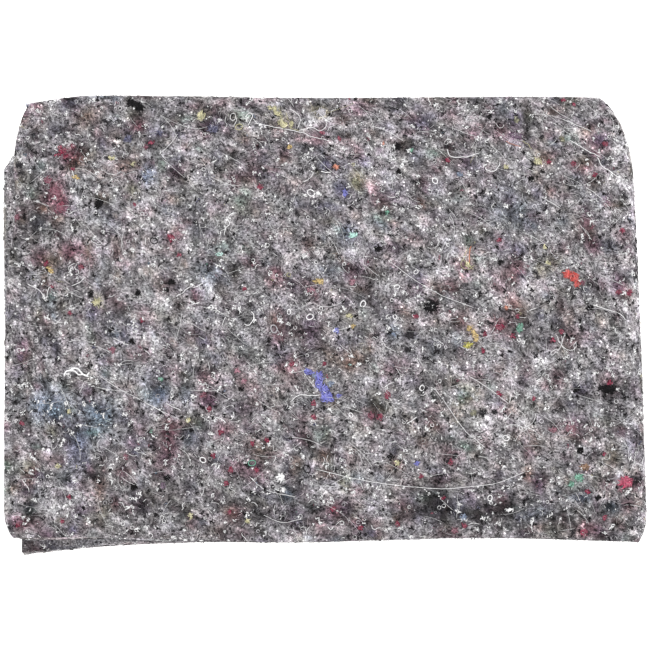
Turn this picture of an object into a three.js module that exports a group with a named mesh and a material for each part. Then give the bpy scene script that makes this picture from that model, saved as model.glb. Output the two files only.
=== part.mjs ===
// A drop cloth of grey recycled-fibre felt, folded for storage. One sheet is folded back and forth
// across its width into a strip of four plies, and the strip is folded back and forth along its
// length into four layers. Millimetres, +Z up, +X to the right of someone who stands at -Y.

import * as THREE from 'three';

// The sheet as it was cut, and the air that its folds keep between the cloth.
const CLOTH_WIDTH = 1320;
const CLOTH_LENGTH = 1865;
const THICKNESS = 2.2;
const PLY_GAP = 0.6;
const LAYER_GAP = 0.8;

// The strip's edges and folds across its width, from the ply that lies outermost. Even rows are at
// the front and odd rows at the back. setBack is how far one stops short of the strip's even line.
const STRIP_EDGES = [
  { name: 'outer cut edge', setBack: 0 },
  { name: 'outer back fold', setBack: 0 },
  { name: 'middle front fold', setBack: 3.4 },
  { name: 'inner back fold', setBack: 0.8 },
  { name: 'inner cut edge', setBack: 2.4 },
];

// The strip's ends and turns along its length, from the bottom up. Even rows are at the left and odd
// rows at the right. reach is how far one lies outside the even stack, and lean is how much further
// out it lies at the front than at the back. Its back and front corners are drawn in along a quarter
// of an ellipse, by depth across the cloth and over length, which ends inset from the strip's edge.
// An end may have a soft dent too, at a Y.
const TURNS = [
  { name: 'lower end', reach: -1, lean: 0,
    back: { depth: 6, length: 60, inset: 0 }, front: { depth: 0, length: 20, inset: 0 } },
  { name: 'lower right fold', reach: -5, lean: 3,
    back: { depth: 14, length: 70, inset: 0 }, front: { depth: 5, length: 30, inset: -3 } },
  { name: 'left fold', reach: 1.7, lean: -10,
    back: { depth: 22, length: 30, inset: 20 }, front: { depth: 8, length: 32, inset: -3 } },
  { name: 'upper right fold', reach: -2, lean: 6,
    back: { depth: 24, length: 60, inset: 0 }, front: { depth: 12, length: 26, inset: -3 } },
  { name: 'upper end', reach: 8, lean: -2,
    back: { depth: 17, length: 105, inset: 0 }, front: { depth: 14, length: 26, inset: -3 },
    dent: { depth: 6, at: 80, spread: 32 } },
];

// How each layer of the strip lies, from the bottom up: swing is how far its front left corner turns
// out towards the front, fading out SWING_SPAN from the left side, and shift moves all of it back.
const LAYERS = [
  { name: 'bottom layer', swing: 13.5, shift: 0 },
  { name: 'second layer', swing: 2.5, shift: 2.5 },
  { name: 'third layer', swing: 1.5, shift: -1 },
  { name: 'top layer', swing: 0, shift: 0 },
];
const SWING_SPAN = 200;
const SWING_POWER = 1.5;
const STEEPEST_CORNER = 0.98;

// The slight waves of the front and back edges: how far out they go, how long they are, and the
// place of a crest along X.
const EDGE_WAVES = {
  front: { height: 1.7, length: 300, crest: -30 },
  back: { height: 0.9, length: 375, crest: -177 },
};

// How far the back edge slopes forward by the stack's left end, fading out at span from it.
const BACK_LEFT_SLOPE = { depth: 6.6, span: 48, power: 1.25 };

// Where the stack stands higher or lower than an even one: the place, how far it spreads, and the
// share of its height that it gains.
const HEIGHT_CHANGES = [
  { name: 'back right corner', x: 235, y: 165, spread: 75, gain: -0.16 },
  { name: 'right folds', x: 190, y: -20, spread: 90, gain: 0.05 },
  { name: 'front right corner', x: 238, y: -165, spread: 55, gain: -0.07 },
  { name: 'left ends', x: -235, y: 40, spread: 80, gain: -0.06 },
  { name: 'front left corner', x: -225, y: -160, spread: 70, gain: -0.1 },
  { name: 'middle', x: -30, y: 20, spread: 110, gain: 0.04 },
];

// What follows from the cut: the strip's plies lie one above the other, and so do its layers.
const PLIES = STRIP_EDGES.length - 1;
const PLY_PITCH = THICKNESS + PLY_GAP;
const STRIP_HEIGHT = PLIES * THICKNESS + (PLIES - 1) * PLY_GAP;
const LAYER_PITCH = STRIP_HEIGHT + LAYER_GAP;
const PLY_RUN = (CLOTH_WIDTH - (PLIES - 1) * Math.PI * PLY_PITCH / 2) / PLIES;
const LAYER_RUN = (CLOTH_LENGTH - (LAYERS.length - 1) * Math.PI * LAYER_PITCH / 2) / LAYERS.length;
const HALF_DEPTH = PLY_RUN / 2;
const HALF_WIDTH = LAYER_RUN / 2;

// Where the faces are divided: distances from the front and back lines across each ply, shares of the
// way along each layer, and the steps round a fold of the strip's plies and of its layers.
const FRONT_STEPS = [4.5, 11, 24, 75];
const BACK_STEPS = [80, 48, 26, 10];
const RUN_STEPS = [0, 0.1, 0.35, 0.65, 0.9, 1];
const PLY_FOLD_STEPS = 4;
const LAYER_FOLD_STEPS = 5;

// How far a corner is drawn in at a distance from the strip's front or back line. The ellipse stops
// short of its end, where it would run straight across.
function cornerDraw(distance, { depth, length, inset }) {
  const share = THREE.MathUtils.clamp(1 - (distance - inset) / length, 0, STEEPEST_CORNER);
  return depth * (1 - Math.sqrt(1 - share * share));
}

// How far an end is drawn in by its dent, at a Y.
function dentDraw(y, { depth, at, spread }) {
  return depth * Math.exp(-(((y - at) / spread) ** 2));
}

// The X of an end of the strip, or of the middle that one of its turns is bent round, at a Y.
function turnPlace(index, y) {
  const turn = TURNS[index];
  const side = index % 2 === 0 ? -1 : 1;
  const lean = -turn.lean * y / PLY_RUN;
  const back = cornerDraw(HALF_DEPTH - y, turn.back);
  const front = cornerDraw(HALF_DEPTH + y, turn.front);
  const dent = turn.dent ? dentDraw(y, turn.dent) : 0;
  return side * (HALF_WIDTH + turn.reach + lean - back - front - dent);
}

// The Y at which a ply of the strip stops or turns.
function edgePlace(index) {
  const side = index % 2 === 0 ? -1 : 1;
  return side * (HALF_DEPTH - STRIP_EDGES[index].setBack);
}

// The strip's section: the middle of the cloth in (y, w), with w up through the plies, and the
// direction (ny, nw) from it to the cloth's outer face.
function stripSection() {
  const middle = [];
  const inner = [
    ...FRONT_STEPS.map((step) => step - HALF_DEPTH),
    0,
    ...BACK_STEPS.map((step) => HALF_DEPTH - step),
  ];
  for (let ply = 0; ply < PLIES; ply += 1) {
    const toBack = ply % 2 === 0 ? 1 : -1;
    const level = (ply - (PLIES - 1) / 2) * PLY_PITCH;
    const stops = [edgePlace(ply), ...(toBack > 0 ? inner : [...inner].reverse()), edgePlace(ply + 1)];
    for (const y of stops) middle.push({ y, w: level, ny: 0, nw: -toBack });
    if (ply === PLIES - 1) break;
    for (let step = 1; step < PLY_FOLD_STEPS; step += 1) {
      const angle = Math.PI * (step / PLY_FOLD_STEPS - 0.5);
      const y = edgePlace(ply + 1) + toBack * Math.cos(angle) * PLY_PITCH / 2;
      const w = level + (1 + Math.sin(angle)) * PLY_PITCH / 2;
      middle.push({ y, w, ny: Math.cos(angle), nw: toBack * Math.sin(angle) });
    }
  }
  return middle;
}

// The stations along the folded strip: shares of a layer's run, and angles round a turn.
function stripStations() {
  const stations = [];
  for (let layer = 0; layer < LAYERS.length; layer += 1) {
    for (const share of RUN_STEPS) stations.push({ layer, share });
    if (layer === LAYERS.length - 1) break;
    for (let step = 1; step < LAYER_FOLD_STEPS; step += 1) {
      stations.push({ turn: layer + 1, angle: Math.PI * (step / LAYER_FOLD_STEPS - 0.5) });
    }
  }
  return stations;
}

// A point of the even stack: a section's (y, w) at a station of the strip.
function stackPoint(station, y, w) {
  if (station.turn === undefined) {
    const { layer, share } = station;
    const x = THREE.MathUtils.lerp(turnPlace(layer, y), turnPlace(layer + 1, y), share);
    const up = layer % 2 === 0 ? 1 : -1;
    return { x, y, z: STRIP_HEIGHT / 2 + layer * LAYER_PITCH + up * w, level: layer };
  }
  const { turn, angle } = station;
  const side = turn % 2 === 0 ? -1 : 1;
  const radius = LAYER_PITCH / 2 - side * w;
  const x = turnPlace(turn, y) + side * radius * Math.cos(angle);
  const z = STRIP_HEIGHT / 2 + (turn - 0.5) * LAYER_PITCH + radius * Math.sin(angle);
  return { x, y, z, level: turn - 0.5 + angle / Math.PI };
}

// How far a wave carries an edge out at an X.
function edgeWave(wave, x) {
  return wave.height * Math.cos(2 * Math.PI * (x - wave.crest) / wave.length);
}

// How far forward the back edge's left end slopes at an X.
function backSlope({ depth, span, power }, x) {
  return depth * Math.max(0, 1 - (x + HALF_WIDTH) / span) ** power;
}

// The share of its height that the stack gains at a place.
function heightGain(x, y) {
  return HEIGHT_CHANGES.reduce((total, change) => {
    const far = ((x - change.x) ** 2 + (y - change.y) ** 2) / change.spread ** 2;
    return total + change.gain * Math.exp(-far);
  }, 0);
}

// Moves a point of the even stack to where the uneven one has it.
function settle({ x, y, z, level }) {
  const below = Math.floor(level);
  const above = Math.min(below + 1, LAYERS.length - 1);
  const swing = THREE.MathUtils.lerp(LAYERS[below].swing, LAYERS[above].swing, level - below);
  const shift = THREE.MathUtils.lerp(LAYERS[below].shift, LAYERS[above].shift, level - below);
  const swung = Math.max(0, 1 - (x + HALF_WIDTH) / SWING_SPAN);
  const across = y / HALF_DEPTH;
  const front = edgeWave(EDGE_WAVES.front, x) * Math.max(0, -across);
  const back = (edgeWave(EDGE_WAVES.back, x) - backSlope(BACK_LEFT_SLOPE, x)) * Math.max(0, across);
  const moved = y + shift - swing * swung ** SWING_POWER - front + back;
  return [x, moved, z * (1 + heightGain(x, y))];
}

// A point on a face of the cloth, half its thickness to one side of its middle.
function facePoint(station, at, side) {
  const off = side * THICKNESS / 2;
  return settle(stackPoint(station, at.y + off * at.ny, at.w + off * at.nw));
}

// The cloth as one closed mesh: its section goes round both faces and is carried along the strip, and
// the strip's two ends are closed by their cut edges.
function foldedCloth() {
  const section = stripSection();
  const stations = stripStations();
  const count = section.length;
  const ring = 2 * count;
  const points = [];
  for (const station of stations) {
    const outer = section.map((at) => facePoint(station, at, 1));
    const inner = section.map((at) => facePoint(station, at, -1));
    points.push(...outer, ...inner.reverse());
  }
  const faces = [];
  // Each four-cornered face is split the same way as those above and below it, so that they nest.
  const quad = (a, b, c, d) => {
    const nests = (points[c][0] - points[a][0]) * (points[c][1] - points[a][1]) > 0;
    faces.push(...(nests ? [a, b, c, a, c, d] : [b, c, d, b, d, a]));
  };
  for (let s = 0; s + 1 < stations.length; s += 1) {
    for (let j = 0; j < ring; j += 1) {
      const next = (j + 1) % ring;
      quad(s * ring + j, s * ring + next, (s + 1) * ring + next, (s + 1) * ring + j);
    }
  }
  const last = (stations.length - 1) * ring;
  for (let j = 0; j + 1 < count; j += 1) {
    const across = ring - 1 - j;
    quad(j, across, across - 1, j + 1);
    quad(last + j, last + j + 1, last + across - 1, last + across);
  }
  const geometry = new THREE.BufferGeometry();
  geometry.setAttribute('position', new THREE.Float32BufferAttribute(points.flat(), 3));
  geometry.setIndex(faces);
  return geometry;
}

// Puts the origin at the middle of the base.
function standOnOrigin(geometry) {
  geometry.computeBoundingBox();
  const { min, max } = geometry.boundingBox;
  geometry.translate(-(min.x + max.x) / 2, -(min.y + max.y) / 2, -min.z);
  geometry.computeVertexNormals();
  return geometry;
}

const greyFelt = new THREE.MeshStandardMaterial({ color: 0x878285, roughness: 0.95, metalness: 0 });

const dropCloth = new THREE.Group();
const cloth = new THREE.Mesh(standOnOrigin(foldedCloth()), greyFelt);
cloth.name = 'folded_cloth';
dropCloth.add(cloth);

export default dropCloth;
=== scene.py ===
"""A drop cloth of grey recycled-fibre felt, folded for storage.

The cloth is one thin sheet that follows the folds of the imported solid. On it lie what the felt is made
of: pale, grey and dark fibres, coloured flecks of shredded textile, knots, curls and loose threads.
Sizes of the cloth are in millimetres. The places that show from above are pixels of the 650 x 650
picture, and each is cast through the scene's own camera on to the cloth that carries it.
"""

import logging
import math
from dataclasses import dataclass, field
from enum import Enum
from typing import Any, Sequence

import bpy
import numpy as np
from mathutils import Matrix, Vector
from mathutils.bvhtree import BVHTree
from mathutils.kdtree import KDTree


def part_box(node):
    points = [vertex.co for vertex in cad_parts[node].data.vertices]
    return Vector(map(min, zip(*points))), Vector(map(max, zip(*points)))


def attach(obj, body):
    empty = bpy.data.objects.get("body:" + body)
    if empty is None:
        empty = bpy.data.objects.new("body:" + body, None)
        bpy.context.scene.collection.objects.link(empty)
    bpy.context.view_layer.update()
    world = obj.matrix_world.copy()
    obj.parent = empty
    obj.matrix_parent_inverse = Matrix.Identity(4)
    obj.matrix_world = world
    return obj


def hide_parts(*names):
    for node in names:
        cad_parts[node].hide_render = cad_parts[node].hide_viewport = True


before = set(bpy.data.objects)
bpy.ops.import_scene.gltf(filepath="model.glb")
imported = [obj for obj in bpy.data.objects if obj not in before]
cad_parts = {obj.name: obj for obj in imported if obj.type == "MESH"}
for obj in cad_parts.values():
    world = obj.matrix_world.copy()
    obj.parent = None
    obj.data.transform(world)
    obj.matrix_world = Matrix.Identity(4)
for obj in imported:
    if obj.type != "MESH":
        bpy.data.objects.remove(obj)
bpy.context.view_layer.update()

LOG = logging.getLogger("drop_cloth")
MM = 0.001
PICTURE_SIDE = 650
BODY = "root"
CLOTH_NODE = "folded_cloth"
TINT = "tint"
BAKE_MAP = "OFBake"
TINY = 1e-9


class Dye(Enum):
    """The colours of the shredded textiles in the felt, as sRGB."""

    WHITE = "#F8F7F8"
    PALE = "#BFBCC0"
    SILVER = "#999699"
    GREY = "#6F6C6F"
    SLATE = "#4F4D50"
    CHARCOAL = "#333134"
    BLACK = "#1A191A"
    RED = "#842440"
    SCARLET = "#BC4A42"
    CORAL = "#AE4460"
    MAROON = "#7C4857"
    ROSE = "#8B616C"
    PINK = "#A0727F"
    ORANGE = "#CC8A72"
    GOLD = "#C2AA74"
    YELLOW = "#C2BD99"
    BROWN = "#85674F"
    OLIVE = "#7F7D67"
    LIME = "#BDB656"
    GREEN = "#76A893"
    MINT = "#BFE6DC"
    BLUE = "#7678C2"
    NAVY = "#50506A"
    SKY = "#7A869B"
    STEEL = "#4A6272"
    PURPLE = "#675265"

    @property
    def rgb(self) -> np.ndarray:
        """The dye in linear light, as red, green and blue."""
        return linear(self.value)[:3]


def linear(code: str) -> np.ndarray:
    """Turns an sRGB hex colour into linear light.

    Args:
        code: the colour, such as "#7E797C".

    Returns:
        Red, green, blue and an alpha of 1.
    """
    channels = np.array([int(code[i:i + 2], 16) / 255 for i in (1, 3, 5)])
    low = channels / 12.92
    high = ((channels + 0.055) / 1.055) ** 2.4
    return np.append(np.where(channels <= 0.04045, low, high), 1.0)


DYES = tuple(Dye)
PALETTE = np.array([dye.rgb for dye in DYES])
DyeMix = tuple[tuple[Dye, float], ...]


def draw_dyes(mix: DyeMix, count: int, rng: np.random.Generator) -> np.ndarray:
    """Draws a dye for each of many fibres.

    Args:
        mix: the dyes and their shares.
        count: how many fibres there are.
        rng: the source of chance.

    Returns:
        The fibres' colours in linear light, in rows.
    """
    odds = np.array([share for _, share in mix])
    colours = np.array([dye.rgb for dye, _ in mix])
    return colours[rng.choice(len(odds), count, p=odds / odds.sum())]


def add_node(tree: bpy.types.NodeTree, kind: str, values: dict[Any, Any] | None = None,
             links: dict[Any, bpy.types.NodeSocket] | None = None, **settings: Any) -> bpy.types.Node:
    """Adds a node to a material, with its settings and links.

    Args:
        tree: the material's node tree.
        kind: the node's type.
        values: input sockets, by name or number, and their values.
        links: input sockets, by name or number, and the outputs that feed them.
        settings: the node's own properties.

    Returns:
        The new node.
    """
    node = tree.nodes.new(kind)
    for name, value in settings.items():
        setattr(node, name, value)
    for socket, value in (values or {}).items():
        node.inputs[socket].default_value = value
    for socket, source in (links or {}).items():
        tree.links.new(source, node.inputs[socket])
    return node


def new_material(name: str) -> tuple[bpy.types.Material, bpy.types.NodeTree]:
    """Makes an empty node material.

    Args:
        name: the real material's name.

    Returns:
        The material and its node tree.
    """
    material = bpy.data.materials.new(name)
    material.use_nodes = True
    material.node_tree.nodes.clear()
    return material, material.node_tree


@dataclass(frozen=True)
class DrawnFibres:
    """Curled fibres in the felt, drawn along the middle level of a noise: offset sets one noise off from
    another, and share is how strongly they show."""

    colour: str
    curl_mm: float
    share: float
    offset: float


@dataclass(frozen=True)
class DrawnSpecks:
    """Round specks in the felt, in those cells of a pattern whose chance lies in a range: white knots, and
    black ones that are partly knots and partly painted shade in the hollows between fibres.
    """

    colour: str
    cell_mm: float
    chance: tuple[float, float]


@dataclass(frozen=True)
class FeltFinish:
    """Needle-punched felt of shredded textiles: matt grey, crossed by curled fibres and full of specks,
    the black ones partly knots and partly painted shade in the hollows between fibres.

    The real fibres are a few hundredths of a millimetre thick, too fine to show in the render, so they
    are drawn some ten times as coarse.
    """

    name: str = "needle_punched_recycled_felt"
    greys: tuple[tuple[float, str], ...] = ((0.34, "#1B1A1D"), (0.5, "#646164"), (0.68, "#C7C4C8"))
    cloud_mm: float = 2.0
    cloud_detail: float = 6.0
    cloud_roughness: float = 0.74
    fibres: tuple[DrawnFibres, ...] = (
        DrawnFibres("#CFCCCF", 3.0, 0.38, 0.0), DrawnFibres("#151416", 2.4, 0.4, 31.0),
        DrawnFibres("#CFCCCF", 1.8, 0.32, 67.0))
    fibre_reach: float = 0.04
    # Black specks, partly black knots and partly painted shade in the hollows between fibres; white knots.
    specks: tuple[DrawnSpecks, ...] = (
        DrawnSpecks("#0F0E10", 3.0, (0.0, 0.24)), DrawnSpecks("#F4F2F3", 2.4, (0.91, 1.0)))
    speck_edge: tuple[float, float] = (0.2, 0.36)
    speck_share: float = 0.9
    stain_mm: float = 11.0
    stain_share: float = 0.08
    bump_mm: float = 0.5
    bump_strength: float = 0.8
    roughness: float = 0.95

    def material(self) -> bpy.types.Material:
        """Builds the felt's material, on the cloth's own place in millimetres.

        Returns:
            The material.
        """
        material, tree = new_material(self.name)
        coords = add_node(tree, "ShaderNodeTexCoord")
        place = add_node(tree, "ShaderNodeVectorMath", {1: (1 / MM, 1 / MM, 1 / MM)},
                         {0: coords.outputs["Object"]}, operation="MULTIPLY").outputs[0]
        cloud = add_node(tree, "ShaderNodeTexNoise",
                         {"Scale": 1 / self.cloud_mm, "Detail": self.cloud_detail,
                          "Roughness": self.cloud_roughness}, {"Vector": place})
        ramp = add_node(tree, "ShaderNodeValToRGB", links={"Fac": cloud.outputs["Fac"]})
        stops = ramp.color_ramp.elements
        stops.new(self.greys[1][0])
        for stop, (position, code) in zip(stops, self.greys):
            stop.position = position
            stop.color = linear(code)
        colour = ramp.outputs["Color"]
        for fibres in self.fibres:
            mask = self.fibre_mask(tree, place, fibres)
            colour = self.laid_over(tree, colour, linear(fibres.colour), mask)
        for specks in self.specks:
            mask = self.speck_mask(tree, place, specks)
            colour = self.laid_over(tree, colour, linear(specks.colour), mask)
        mottle = add_node(tree, "ShaderNodeTexNoise",
                         {"Scale": 1 / self.stain_mm, "Detail": 3.0, "Roughness": 0.55}, {"Vector": place})
        colour = add_node(tree, "ShaderNodeMix", {0: self.stain_share},
                          {6: colour, 7: mottle.outputs["Color"]},
                          data_type="RGBA", blend_type="OVERLAY").outputs[2]
        zone = add_node(tree, "ShaderNodeAttribute", attribute_name=TINT)
        colour = add_node(tree, "ShaderNodeMix", {0: 1.0}, {6: colour, 7: zone.outputs["Color"]},
                          data_type="RGBA", blend_type="MULTIPLY").outputs[2]
        bump = add_node(tree, "ShaderNodeBump",
                        {"Strength": self.bump_strength, "Distance": self.bump_mm * MM},
                        {"Height": cloud.outputs["Fac"]})
        shader = add_node(tree, "ShaderNodeBsdfPrincipled",
                          {"Roughness": self.roughness, "Specular IOR Level": 0.06, "Sheen Weight": 0.1,
                           "Sheen Roughness": 0.6},
                          {"Base Color": colour, "Normal": bump.outputs["Normal"]})
        add_node(tree, "ShaderNodeOutputMaterial", links={"Surface": shader.outputs[0]})
        return material

    @staticmethod
    def laid_over(tree: bpy.types.NodeTree, under: bpy.types.NodeSocket, over: np.ndarray,
                  mask: bpy.types.NodeSocket) -> bpy.types.NodeSocket:
        """Lays a plain colour over what is under it, as strongly as a mask says."""
        return add_node(tree, "ShaderNodeMix", {7: over}, {0: mask, 6: under}, data_type="RGBA").outputs[2]

    def fibre_mask(self, tree: bpy.types.NodeTree, place: bpy.types.NodeSocket,
                   fibres: DrawnFibres) -> bpy.types.NodeSocket:
        """Draws thin curled lines, where a noise is close to its middle level.

        Args:
            tree: the felt's node tree.
            place: the place on the cloth in millimetres.
            fibres: the fibres to draw.

        Returns:
            The mask of the lines.
        """
        offset = fibres.offset
        moved = add_node(tree, "ShaderNodeVectorMath", {1: (offset, 0.6 * offset, -offset)}, {0: place})
        wave = add_node(tree, "ShaderNodeTexNoise",
                        {"Scale": 1 / fibres.curl_mm, "Detail": 1.5, "Roughness": 0.5, "Distortion": 0.8},
                        {"Vector": moved.outputs[0]})
        near = add_node(tree, "ShaderNodeMath", {1: 0.5}, {0: wave.outputs["Fac"]}, operation="SUBTRACT")
        line = add_node(tree, "ShaderNodeMath", links={0: near.outputs[0]}, operation="ABSOLUTE")
        return add_node(tree, "ShaderNodeMapRange", {1: 0.0, 2: self.fibre_reach, 3: fibres.share, 4: 0.0},
                        {0: line.outputs[0]}, interpolation_type="SMOOTHSTEP").outputs[0]

    def speck_mask(self, tree: bpy.types.NodeTree, place: bpy.types.NodeSocket,
                   specks: DrawnSpecks) -> bpy.types.NodeSocket:
        """Draws soft spots in the middles of some cells.

        Args:
            tree: the felt's node tree.
            place: the place on the cloth in millimetres.
            specks: the specks to draw.

        Returns:
            The mask of the spots.
        """
        low, high = specks.chance
        cells = add_node(tree, "ShaderNodeTexVoronoi", {"Scale": 1 / specks.cell_mm}, {"Vector": place})
        pick = add_node(tree, "ShaderNodeSeparateColor", links={0: cells.outputs["Color"]})
        above = add_node(tree, "ShaderNodeMath", {1: low}, {0: pick.outputs[0]}, operation="GREATER_THAN")
        below = add_node(tree, "ShaderNodeMath", {1: high}, {0: pick.outputs[0]}, operation="LESS_THAN")
        chosen = add_node(tree, "ShaderNodeMath", links={0: above.outputs[0], 1: below.outputs[0]},
                          operation="MULTIPLY")
        inner, outer = self.speck_edge
        spot = add_node(tree, "ShaderNodeMapRange", {1: inner, 2: outer, 3: self.speck_share, 4: 0.0},
                        {0: cells.outputs["Distance"]}, interpolation_type="SMOOTHSTEP")
        return add_node(tree, "ShaderNodeMath", links={0: chosen.outputs[0], 1: spot.outputs[0]},
                        operation="MULTIPLY").outputs[0]


@dataclass(frozen=True)
class FibreFinish:
    """Loose textile fibres: each has its own dye, and a soft gloss along it."""

    name: str
    roughness: float = 0.8
    gloss: float = 0.08

    def material(self) -> bpy.types.Material:
        """Builds the fibres' material, which reads each fibre's dye.

        Returns:
            The material.
        """
        material, tree = new_material(self.name)
        dye = add_node(tree, "ShaderNodeAttribute", attribute_name=TINT)
        shader = add_node(tree, "ShaderNodeBsdfPrincipled",
                          {"Roughness": self.roughness, "Specular IOR Level": self.gloss},
                          {"Base Color": dye.outputs["Color"]})
        add_node(tree, "ShaderNodeOutputMaterial", links={"Surface": shader.outputs[0]})
        return material


@dataclass(frozen=True)
class Corner:
    """A corner of the strip, drawn in along a quarter of an ellipse, in millimetres."""

    depth: float
    length: float
    inset: float
    steepest: float = 0.98

    def draw(self, distance: np.ndarray) -> np.ndarray:
        """How far the corner is drawn in at distances from the strip's front or back line."""
        share = np.clip(1 - (distance - self.inset) / self.length, 0, self.steepest)
        return self.depth * (1 - np.sqrt(1 - share ** 2))


@dataclass(frozen=True)
class Dent:
    """A soft dent in an end of the strip, at a place across it, in millimetres."""

    depth: float
    at: float
    spread: float

    def draw(self, y: np.ndarray) -> np.ndarray:
        """How far the end is drawn in at places across the strip."""
        return self.depth * np.exp(-((y - self.at) / self.spread) ** 2)


@dataclass(frozen=True)
class Turn:
    """An end or a turn of the folded strip: even ones are at the left, odd ones at the right."""

    name: str
    reach: float
    lean: float
    back: Corner
    front: Corner
    dent: Dent = Dent(0, 0, 1)


@dataclass(frozen=True)
class Layer:
    """How a layer of the strip lies: swing turns its front left corner out, and shift moves it back."""

    name: str
    swing: float
    shift: float


@dataclass(frozen=True)
class StripEdge:
    """A cut edge or fold across the strip: even ones are at the front, odd ones at the back."""

    name: str
    set_back: float


@dataclass(frozen=True)
class EdgeWave:
    """A slight wave of the front or back edge."""

    height: float
    length: float
    crest: float

    def at(self, x: np.ndarray) -> np.ndarray:
        """How far the wave carries the edge out at an X."""
        return self.height * np.cos(2 * math.pi * (x - self.crest) / self.length)


@dataclass(frozen=True)
class EdgeSlope:
    """How far the back edge slopes forward by the stack's left end, fading out at a span from it."""

    depth: float
    span: float
    power: float

    def at(self, from_end: np.ndarray) -> np.ndarray:
        """How far forward the edge lies at a distance from the left end."""
        return self.depth * np.maximum(0, 1 - from_end / self.span) ** self.power


@dataclass(frozen=True)
class Relief:
    """Soft lumps all over the cloth, as a sum of waves that run every way."""

    height: float
    length: float
    seed: int
    waves: int = 26
    length_range: tuple[float, float] = (0.7, 1.6)

    def at(self, x: np.ndarray, y: np.ndarray) -> np.ndarray:
        """How high the lumps stand at a place."""
        rng = np.random.default_rng(self.seed)
        total = np.zeros_like(x)
        for way, phase in rng.uniform(0, 2 * math.pi, (self.waves, 2)):
            length = self.length * rng.uniform(*self.length_range)
            total += np.sin(2 * math.pi * (x * math.cos(way) + y * math.sin(way)) / length + phase)
        return self.height * total * math.sqrt(2 / self.waves)


@dataclass(frozen=True)
class HeightChange:
    """A place where the stack stands higher or lower than an even one, as a share of its height."""

    name: str
    x: float
    y: float
    spread: float
    gain: float


@dataclass(frozen=True)
class Crease:
    """A soft trough or ridge across the stack, from one place to another, as a share of its height."""

    name: str
    start: tuple[float, float]
    end: tuple[float, float]
    width: float
    gain: float

    def at(self, x: np.ndarray, y: np.ndarray) -> np.ndarray:
        """The share of its height that the stack gains along the crease."""
        begin = np.array(self.start)
        along = np.array(self.end) - begin
        share = ((x - begin[0]) * along[0] + (y - begin[1]) * along[1]) / (along @ along)
        held = np.clip(share, 0, 1)
        far = np.hypot(x - begin[0] - held * along[0], y - begin[1] - held * along[1])
        return self.gain * np.exp(-(far / self.width) ** 2)


TURNS = (
    Turn("lower end", -1, 0, Corner(6, 60, 0), Corner(0, 20, 0)),
    Turn("lower right fold", -5, 3, Corner(14, 70, 0), Corner(5, 30, -3)),
    Turn("left fold", 1.7, -10, Corner(22, 30, 20), Corner(8, 32, -3)),
    Turn("upper right fold", -2, 6, Corner(24, 60, 0), Corner(12, 26, -3)),
    Turn("upper end", 8, -2, Corner(17, 105, 0), Corner(14, 26, -3), Dent(6, 80, 32)),
)
LAYERS = (
    Layer("bottom layer", 13.5, 0),
    Layer("second layer", 2.5, 2.5),
    Layer("third layer", 1.5, -1),
    Layer("top layer", 0, 0),
)
STRIP_EDGES = (
    StripEdge("outer cut edge", 0),
    StripEdge("outer back fold", 0),
    StripEdge("middle front fold", 3.4),
    StripEdge("inner back fold", 0.8),
    StripEdge("inner cut edge", 2.4),
)
HEIGHT_CHANGES = (
    HeightChange("back right corner", 235, 165, 75, -0.16),
    HeightChange("right folds", 190, -20, 90, 0.05),
    HeightChange("front right corner", 238, -165, 55, -0.07),
    HeightChange("left ends", -235, 40, 80, -0.06),
    HeightChange("front left corner", -225, -160, 70, -0.1),
    HeightChange("middle", -30, 20, 110, 0.04),
)
CREASES = (
    Crease("ridge at the back left", (-90, 160), (-128, 85), 14, 0.025),
    Crease("trough beside the right fold", (196, 120), (202, -60), 12, -0.02),
    Crease("trough at the front right", (80, -125), (190, -135), 24, -0.03),
    Crease("trough at the left", (-215, 100), (-205, 20), 16, -0.025),
    Crease("ridge across the middle", (40, 40), (150, 30), 22, 0.015),
)


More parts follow.
